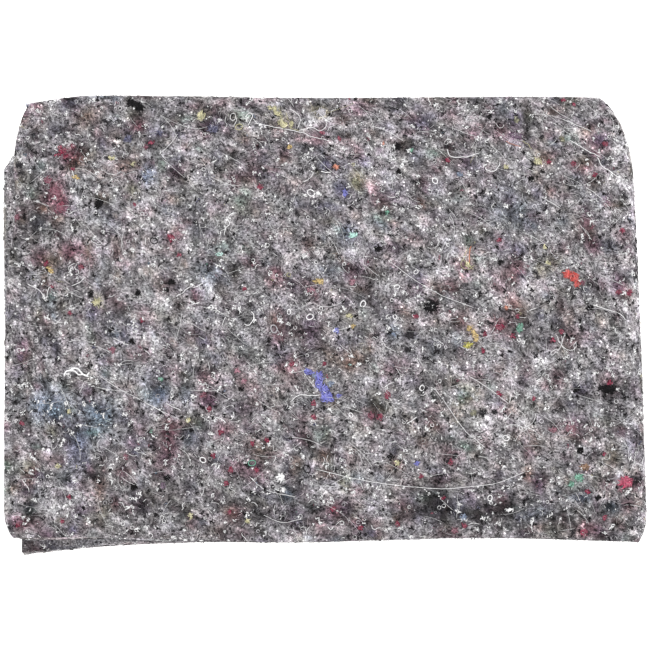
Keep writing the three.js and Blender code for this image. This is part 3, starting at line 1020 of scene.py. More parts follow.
FLECKS = (
    Fleck(Dye.BLUE, 309, 372, 6.0, 1.8, -15), Fleck(Dye.BLUE, 319, 376, 7.0, 1.5, -20),
    Fleck(Dye.BLUE, 319, 384, 6.5, 1.3, -60), Fleck(Dye.BLUE, 324, 389, 7.5, 1.3, -50),
    Fleck(Dye.BLUE, 327, 397, 9.0, 1.4, -10), Fleck(Dye.BLUE, 338, 396, 4.0, 2.0, 15),
    Fleck(Dye.SKY, 314, 376, 4.5, 1.5, -10), Fleck(Dye.SKY, 331, 384, 4.5),
    Fleck(Dye.BLUE, 336, 331, 4.5), Fleck(Dye.SCARLET, 568, 274, 7.0, 1.3, 0),
    Fleck(Dye.SCARLET, 574, 277, 7.5, 1.2, -40), Fleck(Dye.SCARLET, 577, 284, 5.5, 1.4, -70),
    Fleck(Dye.MAROON, 583, 283, 4.0), Fleck(Dye.BLACK, 431, 306, 10.0, 1.2, 10),
    Fleck(Dye.BLACK, 131, 102, 6.5, 1.5, -60), Fleck(Dye.BLACK, 139, 107, 7.5, 1.4, -30),
    Fleck(Dye.BLACK, 397, 146, 5.5), Fleck(Dye.BLACK, 399, 172, 5.0),
    Fleck(Dye.BLACK, 378, 249, 5.5, 1.5, 0), Fleck(Dye.BLACK, 111, 330, 4.5),
    Fleck(Dye.BLACK, 91, 294, 5.0, 1.5, 70), Fleck(Dye.BLACK, 138, 293, 4.5, 1.6),
    Fleck(Dye.BLACK, 171, 282, 4.8, 1.6), Fleck(Dye.BLACK, 167, 290, 3.6),
    Fleck(Dye.BLACK, 132, 341, 4.5), Fleck(Dye.BLACK, 98, 204, 7.0, 1.3, 60),
    Fleck(Dye.BLACK, 531, 179, 4.6), Fleck(Dye.BLACK, 490, 117, 4.5), Fleck(Dye.BLACK, 501, 262, 4.6),
    Fleck(Dye.BLACK, 590, 308, 5.0, 1.7), Fleck(Dye.BLACK, 607, 389, 9.0, 2.2, -8),
    Fleck(Dye.BLACK, 576, 390, 4.6), Fleck(Dye.BLACK, 598, 498, 4.6), Fleck(Dye.BLACK, 580, 450, 5.5),
    Fleck(Dye.BLACK, 391, 457, 4.8), Fleck(Dye.BLACK, 134, 487, 5.0), Fleck(Dye.BLACK, 167, 478, 4.6),
    Fleck(Dye.CHARCOAL, 483, 413, 5.5), Fleck(Dye.CHARCOAL, 494, 412, 4.2, 1.6),
    Fleck(Dye.CHARCOAL, 19, 165, 5.0), Fleck(Dye.CHARCOAL, 410, 335, 7.0),
    Fleck(Dye.CHARCOAL, 408, 350, 5.0, 1.6, 20), Fleck(Dye.CHARCOAL, 287, 408, 5.0),
    Fleck(Dye.RED, 171, 238, 6.6), Fleck(Dye.RED, 63, 151, 6.0, 1.2, 60),
    Fleck(Dye.RED, 73, 146, 4.0, 1.4), Fleck(Dye.RED, 73, 169, 3.4), Fleck(Dye.RED, 260, 187, 4.6),
    Fleck(Dye.RED, 322, 133, 3.6), Fleck(Dye.RED, 448, 160, 4.0), Fleck(Dye.RED, 605, 144, 4.4),
    Fleck(Dye.RED, 549, 162, 4.0), Fleck(Dye.RED, 573, 164, 4.2), Fleck(Dye.RED, 595, 175, 4.0),
    Fleck(Dye.RED, 499, 240, 4.2), Fleck(Dye.RED, 622, 231, 4.4), Fleck(Dye.RED, 563, 100, 3.6),
    Fleck(Dye.RED, 574, 105, 3.4), Fleck(Dye.RED, 46, 264, 4.4), Fleck(Dye.RED, 81, 267, 4.4),
    Fleck(Dye.RED, 52, 287, 3.0), Fleck(Dye.RED, 70, 313, 3.6), Fleck(Dye.RED, 142, 320, 3.6),
    Fleck(Dye.RED, 244, 289, 3.6), Fleck(Dye.RED, 292, 364, 4.8, 1.3, 20), Fleck(Dye.RED, 387, 395, 5.6),
    Fleck(Dye.RED, 314, 403, 4.6), Fleck(Dye.RED, 314, 417, 4.6), Fleck(Dye.RED, 380, 417, 5.0),
    Fleck(Dye.RED, 324, 364, 3.6), Fleck(Dye.RED, 221, 433, 4.4), Fleck(Dye.RED, 213, 456, 4.4),
    Fleck(Dye.RED, 267, 440, 4.0), Fleck(Dye.RED, 253, 443, 4.0), Fleck(Dye.RED, 231, 470, 4.2),
    Fleck(Dye.RED, 256, 470, 4.4), Fleck(Dye.RED, 416, 317, 4.2), Fleck(Dye.RED, 499, 327, 6.5, 1.6, 10),
    Fleck(Dye.RED, 485, 334, 4.0), Fleck(Dye.RED, 513, 336, 4.0), Fleck(Dye.RED, 518, 316, 3.6),
    Fleck(Dye.RED, 483, 350, 3.8), Fleck(Dye.RED, 499, 394, 4.4, 1.5, -10), Fleck(Dye.RED, 562, 332, 4.2),
    Fleck(Dye.RED, 553, 340, 4.0), Fleck(Dye.RED, 610, 383, 4.6), Fleck(Dye.RED, 534, 398, 3.4),
    Fleck(Dye.ROSE, 553, 430, 5.6, 1.5), Fleck(Dye.ROSE, 570, 428, 7.0, 1.6),
    Fleck(Dye.RED, 451, 462, 4.4, 1.5, 60), Fleck(Dye.RED, 604, 454, 3.2), Fleck(Dye.ROSE, 126, 457, 4.6),
    Fleck(Dye.RED, 22, 423, 4.0), Fleck(Dye.RED, 209, 409, 4.4), Fleck(Dye.RED, 18, 525, 3.6),
    Fleck(Dye.RED, 62, 521, 3.8), Fleck(Dye.RED, 69, 497, 3.6), Fleck(Dye.RED, 230, 512, 4.0),
    Fleck(Dye.RED, 333, 509, 4.4), Fleck(Dye.RED, 360, 528, 4.0), Fleck(Dye.RED, 398, 524, 4.0),
    Fleck(Dye.RED, 421, 476, 3.6), Fleck(Dye.RED, 226, 483, 3.8), Fleck(Dye.RED, 588, 492, 4.0),
    Fleck(Dye.RED, 464, 526, 4.6), Fleck(Dye.ROSE, 455, 530, 5.0), Fleck(Dye.RED, 443, 498, 3.4),
    Fleck(Dye.RED, 605, 518, 4.0), Fleck(Dye.RED, 584, 533, 6.0), Fleck(Dye.CORAL, 625, 482, 9.0, 1.2, 0),
    Fleck(Dye.ROSE, 620, 490, 4.5), Fleck(Dye.MAROON, 55, 192, 8.0, 1.5, -50),
    Fleck(Dye.MAROON, 60, 208, 8.0, 1.6, 60), Fleck(Dye.RED, 61, 205, 4.6, 1.6, 60),
    Fleck(Dye.MAROON, 48, 180, 6.0), Fleck(Dye.MAROON, 112, 350, 5.5),
    Fleck(Dye.MAROON, 17, 218, 5.0, 1.6, 80), Fleck(Dye.MAROON, 146, 147, 4.0),
    Fleck(Dye.RED, 152, 143, 4.6, 1.6), Fleck(Dye.MAROON, 203, 395, 5.0),
    Fleck(Dye.MAROON, 371, 416, 5.0), Fleck(Dye.PINK, 237, 371, 4.6), Fleck(Dye.PINK, 244, 381, 4.2),
    Fleck(Dye.PINK, 352, 282, 5.2), Fleck(Dye.PINK, 311, 290, 4.6, 2.0), Fleck(Dye.RED, 135, 204, 3.0),
    Fleck(Dye.RED, 179, 255, 3.4), Fleck(Dye.YELLOW, 277, 113, 5.5, 1.8, -50),
    Fleck(Dye.YELLOW, 283, 124, 6.5, 1.4, -30), Fleck(Dye.YELLOW, 291, 124, 4.0, 1.5, 80),
    Fleck(Dye.YELLOW, 272, 108, 5.0, 2.0, 0), Fleck(Dye.PALE, 321, 112, 7.0),
    Fleck(Dye.YELLOW, 201, 116, 6.5, 1.6, 75), Fleck(Dye.YELLOW, 112, 158, 4.6, 2.0),
    Fleck(Dye.YELLOW, 133, 164, 3.6), Fleck(Dye.GOLD, 50, 270, 5.0, 2.0, -50),
    Fleck(Dye.YELLOW, 97, 302, 6.0), Fleck(Dye.YELLOW, 69, 411, 4.0), Fleck(Dye.YELLOW, 188, 420, 4.0),
    Fleck(Dye.YELLOW, 58, 466, 4.0), Fleck(Dye.YELLOW, 190, 516, 4.4), Fleck(Dye.OLIVE, 516, 120, 5.0),
    Fleck(Dye.YELLOW, 539, 162, 4.6), Fleck(Dye.YELLOW, 506, 167, 4.0),
    Fleck(Dye.GOLD, 470, 328, 5.0, 1.4, 60), Fleck(Dye.GOLD, 474, 333, 5.5, 1.5, -50),
    Fleck(Dye.GOLD, 476, 339, 4.5, 1.6, 70), Fleck(Dye.LIME, 468, 345, 5.5, 1.5, 10),
    Fleck(Dye.PALE, 471, 338, 4.0, 1.3, 50), Fleck(Dye.GOLD, 319, 281, 6.0, 1.7, 0),
    Fleck(Dye.YELLOW, 349, 316, 4.6, 1.8), Fleck(Dye.GOLD, 353, 326, 3.2),
    Fleck(Dye.YELLOW, 397, 463, 4.4), Fleck(Dye.YELLOW, 248, 521, 4.0), Fleck(Dye.YELLOW, 468, 265, 4.6),
    Fleck(Dye.YELLOW, 545, 247, 3.8), Fleck(Dye.YELLOW, 548, 263, 3.8), Fleck(Dye.OLIVE, 356, 182, 5.5),
    Fleck(Dye.ORANGE, 336, 167, 4.6), Fleck(Dye.RED, 339, 139, 3.6), Fleck(Dye.GOLD, 289, 147, 3.6),
    Fleck(Dye.ORANGE, 507, 308, 4.4), Fleck(Dye.YELLOW, 537, 161, 5.5, 1.2, 40),
    Fleck(Dye.GOLD, 76, 177, 4.5, 2.4, -20), Fleck(Dye.BROWN, 584, 467, 6.0, 1.6),
    Fleck(Dye.GREEN, 520, 328, 6.0, 1.6, 80), Fleck(Dye.GREEN, 579, 478, 6.5),
    Fleck(Dye.GREEN, 571, 484, 5.0), Fleck(Dye.GREEN, 412, 150, 3.6), Fleck(Dye.GREEN, 387, 213, 3.6),
    Fleck(Dye.GREEN, 161, 379, 3.8), Fleck(Dye.OLIVE, 562, 139, 5.0), Fleck(Dye.OLIVE, 473, 413, 5.0),
    Fleck(Dye.MINT, 353, 235, 5.5, 1.4), Fleck(Dye.MINT, 220, 254, 4.4, 2.2),
    Fleck(Dye.SKY, 460, 174, 4.4), Fleck(Dye.BLUE, 345, 193, 5.0), Fleck(Dye.NAVY, 213, 129, 7.0, 1.8),
    Fleck(Dye.NAVY, 160, 133, 5.0), Fleck(Dye.NAVY, 128, 139, 6.0), Fleck(Dye.BLUE, 417, 463, 4.4),
    Fleck(Dye.PURPLE, 516, 136, 7.5, 2.2, 0), Fleck(Dye.PURPLE, 21, 358, 5.0),
    Fleck(Dye.PURPLE, 163, 486, 4.6), Fleck(Dye.SKY, 394, 334, 3.6), Fleck(Dye.SKY, 463, 517, 5.0),
    Fleck(Dye.RED, 58, 155, 4.2, 1.6, 20), Fleck(Dye.RED, 66, 157, 4.2, 1.6, 60),
    Fleck(Dye.RED, 60, 147, 3.6), Fleck(Dye.RED, 619, 292, 4.6, 1.3, 10),
    Fleck(Dye.RED, 629, 293, 5.0, 1.3, 60), Fleck(Dye.WHITE, 624, 293, 3.4),
    Fleck(Dye.WHITE, 281, 478, 6.6), Fleck(Dye.WHITE, 283, 490, 4.4), Fleck(Dye.WHITE, 318, 193, 4.0),
    Fleck(Dye.WHITE, 509, 510, 4.6, 2.6, 0),
)

RINGS = (
    Ring(Dye.WHITE, 311, 193, 5.0), Ring(Dye.WHITE, 310, 317, 4.6), Ring(Dye.WHITE, 397, 287, 3.2, 0.8),
    Ring(Dye.WHITE, 395, 317, 3.0, 0.9), Ring(Dye.WHITE, 289, 312, 3.0, 0.9),
    Ring(Dye.PALE, 274, 329, 5.2), Ring(Dye.WHITE, 422, 388, 3.6), Ring(Dye.WHITE, 435, 181, 4.0),
    Ring(Dye.WHITE, 203, 460, 4.0), Ring(Dye.WHITE, 506, 438, 4.2), Ring(Dye.WHITE, 233, 117, 4.6, 0.6),
    Ring(Dye.YELLOW, 239, 127, 4.6, 0.8), Ring(Dye.WHITE, 363, 304, 4.2),
    Ring(Dye.BLACK, 307, 469, 5.4, 0.8), Ring(Dye.GREEN, 252, 463, 4.6), Ring(Dye.WHITE, 490, 498, 3.6),
    Ring(Dye.WHITE, 351, 415, 3.0), Ring(Dye.WHITE, 416, 272, 3.0, 0.8),
    Ring(Dye.BLACK, 154, 241, 4.6, 0.8),
)

THREADS = (
    Thread(Dye.WHITE, 1.5, route(64, 377, 66, 372, 72, 370, 77, 369, 81, 372, 86, 376, 90, 372)),
    Thread(Dye.WHITE, 1.3, route(69, 371, 75, 371, 79, 374, 84, 374, 89, 377)),
    Thread(Dye.WHITE, 1.2, route(70, 370, 74, 368, 80, 370)),
    Thread(Dye.WHITE, 0.5, route(79, 393, 82, 388, 84, 383)),
    Thread(Dye.WHITE, 0.42, route(97, 374, 120, 390, 140, 400, 160, 410, 181, 420)),
    Thread(Dye.YELLOW, 0.5, route(272, 109, 279, 114, 283, 122, 292, 128, 299, 131)),
    Thread(Dye.YELLOW, 0.42, route(278, 108, 282, 116, 280, 124, 284, 130)),
    Thread(Dye.YELLOW, 0.42, route(286, 112, 288, 120, 293, 123, 290, 130)),
    Thread(Dye.WHITE, 0.6, route(253, 123, 278, 128, 300, 132, 312, 137, 331, 141)),
    Thread(Dye.WHITE, 0.6, route(298, 131, 305, 129, 312, 127, 320, 131, 327, 125, 325, 119, 319, 113)),
    Thread(Dye.WHITE, 0.7, route(224, 236, 226, 229, 230, 225, 228, 219, 232, 214, 237, 213)),
    Thread(Dye.WHITE, 0.6, route(303, 182, 309, 179, 313, 174, 309, 170)),
    Thread(Dye.WHITE, 0.9, route(321, 171, 326, 172, 331, 172)),
    Thread(Dye.WHITE, 0.5, route(311, 468, 368, 481, 426, 488, 451, 488, 496, 483, 527, 471)),
    Thread(Dye.WHITE, 0.42, route(249, 476, 266, 490, 297, 497)),
    Thread(Dye.WHITE, 0.42, route(263, 515, 284, 522, 303, 519)),
    Thread(Dye.WHITE, 0.42, route(386, 259, 430, 290, 475, 308)),
    Thread(Dye.WHITE, 0.5, route(468, 376, 488, 388, 509, 404)),
    Thread(Dye.WHITE, 0.5, route(434, 386, 447, 405, 462, 427, 473, 438, 486, 448)),
    Thread(Dye.WHITE, 0.7, route(590, 304, 602, 308, 613, 311, 620, 314, 626, 320)),
    Thread(Dye.PALE, 0.5, route(596, 308, 607, 311, 617, 314)),
    Thread(Dye.PALE, 0.5, route(586, 305, 590, 313)),
    Thread(Dye.ORANGE, 0.9, route(471, 246, 469, 254, 470, 263)),
    Thread(Dye.YELLOW, 0.55, route(468, 248, 464, 257, 461, 265, 468, 269, 475, 265)),
    Thread(Dye.YELLOW, 0.42, route(463, 260, 468, 264, 474, 270)),
    Thread(Dye.ORANGE, 0.5, route(506, 141, 512, 144, 521, 147)),
    Thread(Dye.YELLOW, 0.5, route(522, 141, 527, 144, 532, 149)),
    Thread(Dye.WHITE, 0.75, route(447, 149, 450, 156, 456, 158, 466, 157, 480, 153)),
    Thread(Dye.WHITE, 0.5, route(562, 119, 578, 126, 592, 132)),
    Thread(Dye.WHITE, 0.7, route(570, 140, 585, 149, 600, 157)),
    Thread(Dye.WHITE, 0.75, route(597, 157, 602, 166, 611, 172, 620, 178)),
    Thread(Dye.WHITE, 0.5, route(540, 197, 550, 202, 560, 208)),
    Thread(Dye.WHITE, 0.42, route(580, 225, 586, 233, 592, 240)),
    Thread(Dye.WHITE, 0.42, route(585, 187, 595, 194, 603, 200)),
    Thread(Dye.WHITE, 0.42, route(605, 203, 611, 210, 615, 216)),
    Thread(Dye.WHITE, 0.8, route(485, 168, 490, 171, 495, 170, 499, 166, 500, 162)),
    Thread(Dye.WHITE, 0.8, route(213, 421, 217, 418, 222, 419, 226, 423)),
    Thread(Dye.WHITE, 0.7, route(231, 420, 234, 416, 233, 412)),
    Thread(Dye.WHITE, 0.8, route(407, 424, 412, 420, 417, 417)),
    Thread(Dye.PALE, 0.5, route(205, 382, 216, 390, 228, 398)),
    Thread(Dye.WHITE, 0.42, route(371, 126, 388, 132, 404, 141)),
    Thread(Dye.WHITE, 0.42, route(178, 134, 170, 144, 159, 154)),
    Thread(Dye.PALE, 0.42, route(101, 181, 118, 177, 136, 171)),
    Thread(Dye.WHITE, 0.42, route(569, 414, 572, 428, 567, 435)),
    Thread(Dye.WHITE, 0.8, route(251, 311, 254, 315, 253, 321, 249, 325, 244, 324)),
    Thread(Dye.WHITE, 0.5, route(289, 109, 296, 113, 301, 120, 297, 130)),
    Thread(Dye.WHITE, 0.55, route(236, 118, 236, 122, 233, 127)),
    Thread(Dye.WHITE, 0.7, route(246, 117, 249, 113, 252, 116, 250, 121, 248, 126)),
    Thread(Dye.WHITE, 0.42, route(226, 116, 225, 121, 227, 125, 224, 130)),
    Thread(Dye.WHITE, 0.5, route(253, 119, 257, 123, 263, 127)),
    Thread(Dye.WHITE, 0.42, route(87, 226, 95, 237, 102, 244, 96, 245)),
    Thread(Dye.WHITE, 0.6, route(27, 284, 34, 288, 41, 292, 46, 301)),
    Thread(Dye.WHITE, 0.6, route(71, 286, 78, 283, 83, 279, 86, 277)),
    Thread(Dye.WHITE, 0.7, route(176, 297, 182, 293, 186, 289, 191, 287)),
    Thread(Dye.WHITE, 0.9, route(190, 301, 195, 304, 200, 302)),
    Thread(Dye.WHITE, 0.7, route(193, 288, 199, 285, 203, 283)),
    Thread(Dye.WHITE, 0.6, route(113, 338, 119, 341, 124, 343, 129, 345)),
    Thread(Dye.WHITE, 0.5, route(85, 327, 91, 334)),
    Thread(Dye.WHITE, 0.5, route(144, 349, 150, 355)),
    Thread(Dye.WHITE, 0.6, route(166, 403, 173, 407, 181, 411)),
    Thread(Dye.YELLOW, 0.6, route(91, 303, 97, 302, 104, 301)),
    Thread(Dye.YELLOW, 0.6, route(94, 297, 97, 303, 99, 309)),
    Thread(Dye.YELLOW, 0.5, route(101, 297, 95, 307)),
    Thread(Dye.WHITE, 0.42, route(33, 201, 42, 203, 49, 206)),
    Thread(Dye.WHITE, 0.5, route(557, 351, 552, 355, 551, 352, 556, 349, 558, 350, 561, 346, 562, 341,
                                 561, 335)),
    Thread(Dye.WHITE, 0.55, route(561, 345, 566, 349, 572, 350, 576, 346, 575, 342)),
    Thread(Dye.WHITE, 0.55, route(560, 344, 558, 339, 557, 335)),
    Thread(Dye.WHITE, 0.42, route(562, 342, 564, 338, 565, 335)),
    Thread(Dye.PALE, 0.8, route(538, 372, 547, 365, 556, 358)),
    Thread(Dye.PALE, 0.42, route(540, 425, 553, 434, 566, 436, 572, 428)),
    Thread(Dye.WHITE, 0.42, route(396, 368, 400, 376, 401, 385)),
    Thread(Dye.WHITE, 0.42, route(381, 338, 386, 346, 396, 352)),
    Thread(Dye.WHITE, 0.7, route(290, 402, 299, 395, 310, 396, 320, 395)),
    Thread(Dye.WHITE, 0.42, route(527, 428, 520, 421, 514, 418)),
    Thread(Dye.WHITE, 0.5, route(528, 429, 519, 425, 509, 424)),
    Thread(Dye.WHITE, 0.42, route(527, 429, 520, 434, 515, 441)),
    Thread(Dye.WHITE, 0.42, route(526, 427, 526, 419, 521, 411)),
    Thread(Dye.WHITE, 0.42, route(527, 428, 534, 431, 541, 437)),
    Thread(Dye.WHITE, 0.5, route(527, 427, 533, 421, 536, 413)),
    Thread(Dye.PALE, 0.42, route(526, 429, 529, 437, 527, 445)),
    Thread(Dye.WHITE, 0.5, route(523, 429, 527, 427, 531, 429)),
    Thread(Dye.PALE, 0.42, route(500, 400, 511, 411, 524, 424)),
    Thread(Dye.PALE, 0.42, route(494, 404, 508, 417, 522, 427)),
    Thread(Dye.BLACK, 0.5, route(349, 345, 354, 353, 359, 362)),
    Thread(Dye.BLACK, 0.42, route(372, 369, 381, 370, 393, 374)),
    Thread(Dye.CHARCOAL, 0.5, route(311, 412, 320, 408, 333, 410)),
)


@dataclass
class ClothSurface:
    """The cloth's faces, on which fibres take root and lie."""

    piece: bpy.types.Object
    reach: float = 60 * MM
    lift: float = 0.3 * MM
    slant: float = 1.2
    steepest: float = 0.9
    level: float = 0.5
    side_rise: float = 0.3
    tuck: float = 0.2
    dye_depth: float = 0.1

    def __post_init__(self) -> None:
        """Reads the sheet's mesh and finds which faces are open to view."""
        mesh = self.piece.data
        self.places = np.empty((len(mesh.vertices), 3))
        mesh.vertices.foreach_get("co", self.places.ravel())
        count = len(mesh.polygons)
        self.corners = np.array([tuple(face.vertices) for face in mesh.polygons])
        self.normals = np.empty((count, 3))
        self.centres = np.empty((count, 3))
        self.areas = np.empty(count)
        mesh.polygons.foreach_get("normal", self.normals.ravel())
        mesh.polygons.foreach_get("center", self.centres.ravel())
        mesh.polygons.foreach_get("area", self.areas)
        self.tree = BVHTree.FromPolygons(self.places.tolist(), self.corners.tolist())
        self.openness = self.find_openness()
        self.lights = np.ones(len(self.places))
        self.washes = np.ones(self.places.shape)
        self.shares = np.zeros((len(self.places), len(DYES)))

    def find_openness(self) -> np.ndarray:
        """The share of five directions in which each face sees past the cloth."""
        across, along = self.axes(self.normals)
        slants = ((0, 0), (self.slant, 0), (-self.slant, 0), (0, self.slant), (0, -self.slant))
        starts = self.centres + self.lift * self.normals
        seen = np.zeros(len(starts))
        for u, v in slants:
            ways = self.normals + u * across + v * along
            for i, (start, way) in enumerate(zip(starts.tolist(), ways.tolist())):
                hit = self.tree.ray_cast(start, way, self.reach)
                seen[i] += hit[0] is None
        return seen / len(slants)

    def axes(self, normals: np.ndarray) -> tuple[np.ndarray, np.ndarray]:
        """Two directions across each normal, the first as near to X as it can be.

        Args:
            normals: unit normals in rows.

        Returns:
            The two directions, in rows.
        """
        steep = np.abs(normals[:, :1]) > self.steepest
        guide = np.where(steep, np.array([[0.0, 1.0, 0.0]]), np.array([[1.0, 0.0, 0.0]]))
        across = guide - (guide * normals).sum(axis=1, keepdims=True) * normals
        across /= np.linalg.norm(across, axis=1, keepdims=True)
        return across, np.cross(normals, across)

    def roots(self, count: int, rng: np.random.Generator, side: float = 0.7,
              base: float = 0.25) -> tuple[np.ndarray, np.ndarray, np.ndarray]:
        """Picks places on the shown faces.

        Args:
            count: how many.
            rng: the source of chance.
            side: how thickly the sides are set, against the top.
            base: how thickly the underside is set, against the top.

        Returns:
            The places, the normals there and the numbers of their faces.
        """
        rise = self.normals[:, 2]
        share = np.where(rise > self.level, 1.0, np.where(rise < -self.level, base, side))
        weight = self.areas * self.openness * share
        faces = rng.choice(len(weight), count, p=weight / weight.sum())
        quad = self.places[self.corners[faces]]
        u, v = rng.random((2, count, 1))
        spots = ((1 - u) * (1 - v) * quad[:, 0] + u * (1 - v) * quad[:, 1]
                 + u * v * quad[:, 2] + (1 - u) * v * quad[:, 3])
        return spots, self.normals[faces], faces

    def lay(self, spots: np.ndarray, normals: np.ndarray, turns: np.ndarray, lengths: np.ndarray,
            rises: np.ndarray) -> tuple[np.ndarray, np.ndarray]:
        """Lays strands along the cloth.

        Args:
            spots: the strands' middles.
            normals: the cloth's normals there.
            turns: the heading of each strand at each of its points, in radians from the first axis.
            lengths: their lengths.
            rises: how high the middle of each stands, where the cloth lies level.

        Returns:
            The points of each strand and the cloth's normals there.
        """
        across, along = self.axes(normals)
        steps = turns.shape[1]
        step = lengths[:, None] / (steps - 1)
        u = np.cumsum(np.cos(turns) * step, axis=1)
        v = np.cumsum(np.sin(turns) * step, axis=1)
        u -= u.mean(axis=1, keepdims=True)
        v -= v.mean(axis=1, keepdims=True)
        points = spots[:, None] + u[..., None] * across[:, None] + v[..., None] * along[:, None]
        flat = points.reshape(-1, 3)
        ups = np.empty_like(flat)
        for i, point in enumerate(flat.tolist()):
            place, normal, _, _ = self.tree.find_nearest(point)
            flat[i] = place
            ups[i] = normal
        rises = rises * (self.side_rise + (1 - self.side_rise) * np.maximum(0, normals[:, 2]))
        arch = (1 + self.tuck) * np.cos(math.pi * np.linspace(-0.5, 0.5, steps)) - self.tuck
        points = flat.reshape(points.shape)
        ups = ups.reshape(points.shape)
        points = points + (rises[:, None] * arch[None, :])[..., None] * ups
        points[..., 2] = np.maximum(points[..., 2], self.lift)
        return points, ups

    def dyed(self, tints: np.ndarray, corners: np.ndarray, chances: np.ndarray) -> np.ndarray:
        """Gives the fibres of a dyed patch its dye, as many of them as the patch's share says.

        Args:
            tints: the fibres' colours without it.
            corners: the points of the sheet that they lie at.
            chances: the chance that each fibre's shred has drawn, from 0 to 1.

        Returns:
            The fibres' colours.
        """
        limits = np.cumsum(self.shares[corners], axis=1)
        picked = (chances[:, None] > limits).sum(axis=1)
        depth = self.dye_depth * (picked < len(DYES))[:, None]
        return tints + depth * (PALETTE[np.minimum(picked, len(DYES) - 1)] - tints)


@dataclass
class Clumps:
    """The shreds that the felt was carded from: fibres that lie close together mostly share a dye."""

    count: int
    dyes: DyeMix = (
        (Dye.BLACK, 0.12), (Dye.CHARCOAL, 0.18), (Dye.SLATE, 0.19), (Dye.GREY, 0.19), (Dye.SILVER, 0.19),
        (Dye.PALE, 0.1), (Dye.WHITE, 0.03))
    shade_spread: float = 0.2
    seed: int = 8

    def scatter(self, surface: ClothSurface) -> None:
        """Places the clumps' middles.

        Args:
            surface: the cloth.
        """
        rng = np.random.default_rng(self.seed)
        spots, _, _ = surface.roots(self.count, rng, side=1.0, base=0.6)
        self.tree = KDTree(self.count)
        for i, spot in enumerate(spots.tolist()):
            self.tree.insert(spot, i)
        self.tree.balance()
        self.colours = draw_dyes(self.dyes, self.count, rng)
        self.colours = self.colours * np.exp(rng.normal(0, self.shade_spread, (self.count, 1)))
        self.shades = self.colours.mean(axis=1) / np.median(self.colours.mean(axis=1))
        self.chances = rng.random(self.count)

    def nearest(self, spots: np.ndarray) -> np.ndarray:
        """The numbers of the clumps that places lie in."""
        return np.array([self.tree.find(spot)[1] for spot in spots.tolist()])


@dataclass
class FeltToneAndPaintedLight:
    """The felt's uneven tone and dye, with painted light and shade: patches placed where it shows best,
    among them painted light rims and painted shade, and scattered ones all over.
    """

    surface: ClothSurface
    clumps: Clumps
    shreds: Clumps
    studio: Studio
    count: int = 7500
    size: tuple[float, float] = (2.2, 6.8)
    contrast: float = 0.33
    lighter: float = 0.75
    darkest: float = 0.05
    dyed_share: float = 0.17
    dyed_in_light: float = 0.4
    dyed_in_dark: float = 1.4
    most_dyed: float = 0.8
    grey: float = 0.175
    dyes: DyeMix = (
        (Dye.MAROON, 0.25), (Dye.ROSE, 0.07), (Dye.PURPLE, 0.1), (Dye.BROWN, 0.13), (Dye.NAVY, 0.15),
        (Dye.STEEL, 0.07), (Dye.OLIVE, 0.19), (Dye.GREEN, 0.04))
    clump_depth: float = 0.35
    wash: float = 0.9
    fade: float = 0.42
    reach: float = 5
    tint_range: tuple[float, float] = (0.05, 3)
    seed: int = 5

    def paint(self) -> None:
        """Works out how light and how dyed the felt is at each point of the sheet, painted light rims and
        painted shade included, and tints the sheet.
        """
        surface = self.surface
        for dye, patches in PATCHES.items():
            for patch in patches:
                found = self.studio.cast(surface.tree, patch.px, patch.py)
                if found is not None:
                    self.mottle(found[0], patch, dye)
        self.scatter()
        total = np.maximum(surface.shares.sum(axis=1, keepdims=True), self.most_dyed)
        surface.shares *= self.most_dyed / total
        soak = PALETTE / PALETTE.max(axis=1, keepdims=True) - 1
        fade = 1 - self.fade * surface.shares.sum(axis=1, keepdims=True)
        surface.washes = fade * (1 + self.wash * surface.shares @ soak)
        plain = np.full(surface.places.shape, self.grey)
        chances = self.shreds.chances[self.shreds.nearest(surface.places)]
        hues = surface.washes * surface.dyed(plain, np.arange(len(plain)), chances) / self.grey
        shades = self.clumps.shades[self.clumps.nearest(surface.places)] ** self.clump_depth
        tints = np.clip(hues * (surface.lights * shades)[:, None], *self.tint_range)
        layer = surface.piece.data.color_attributes.new(TINT, "FLOAT_COLOR", "POINT")
        layer.data.foreach_set("color", np.column_stack([tints, np.ones(len(tints))]).ravel())

    def scatter(self) -> None:
        """Adds the scattered patches, of which the dark ones are dyed more than the light ones."""
        rng = np.random.default_rng(self.seed)
        spots, _, _ = self.surface.roots(self.count, rng, side=1.0, base=0.6)
        names = [dye for dye, _ in self.dyes]
        chosen = rng.choice(len(names), self.count, p=[share for _, share in self.dyes])
        small, large = self.size
        sizes = np.exp(rng.uniform(math.log(small), math.log(large), (self.count, 2)))
        lights = rng.normal(0, self.contrast, self.count)
        lights = np.where(lights > 0, self.lighter * lights, lights)
        shares = np.abs(rng.normal(0, self.dyed_share, self.count))
        shares = shares * np.where(lights > 0, self.dyed_in_light, self.dyed_in_dark)
        for spot, name, size, light, share in zip(spots, chosen, sizes, lights, shares):
            self.mottle(spot, Patch(0, 0, *size, light, share), names[name])

    def mottle(self, spot: np.ndarray, patch: Patch, dye: Dye) -> None:
        """Adds a patch to the points of the sheet round a place. Most patches are the felt's own tone and
        dye, and some are painted light and shade.

        Args:
            spot: the patch's middle.
            patch: its sizes, its light and how much of it is dyed.
            dye: its dye.
        """
        sizes = np.array([patch.wide, patch.tall, (patch.wide + patch.tall) / 2]) * MM
        away = (((self.surface.places - spot) / sizes) ** 2).sum(axis=1)
        near = np.flatnonzero(away < self.reach)
        weight = np.exp(-away[near])
        self.surface.lights[near] *= np.maximum(self.darkest, 1 + patch.light * weight)
        self.surface.shares[near, DYES.index(dye)] += patch.share * weight


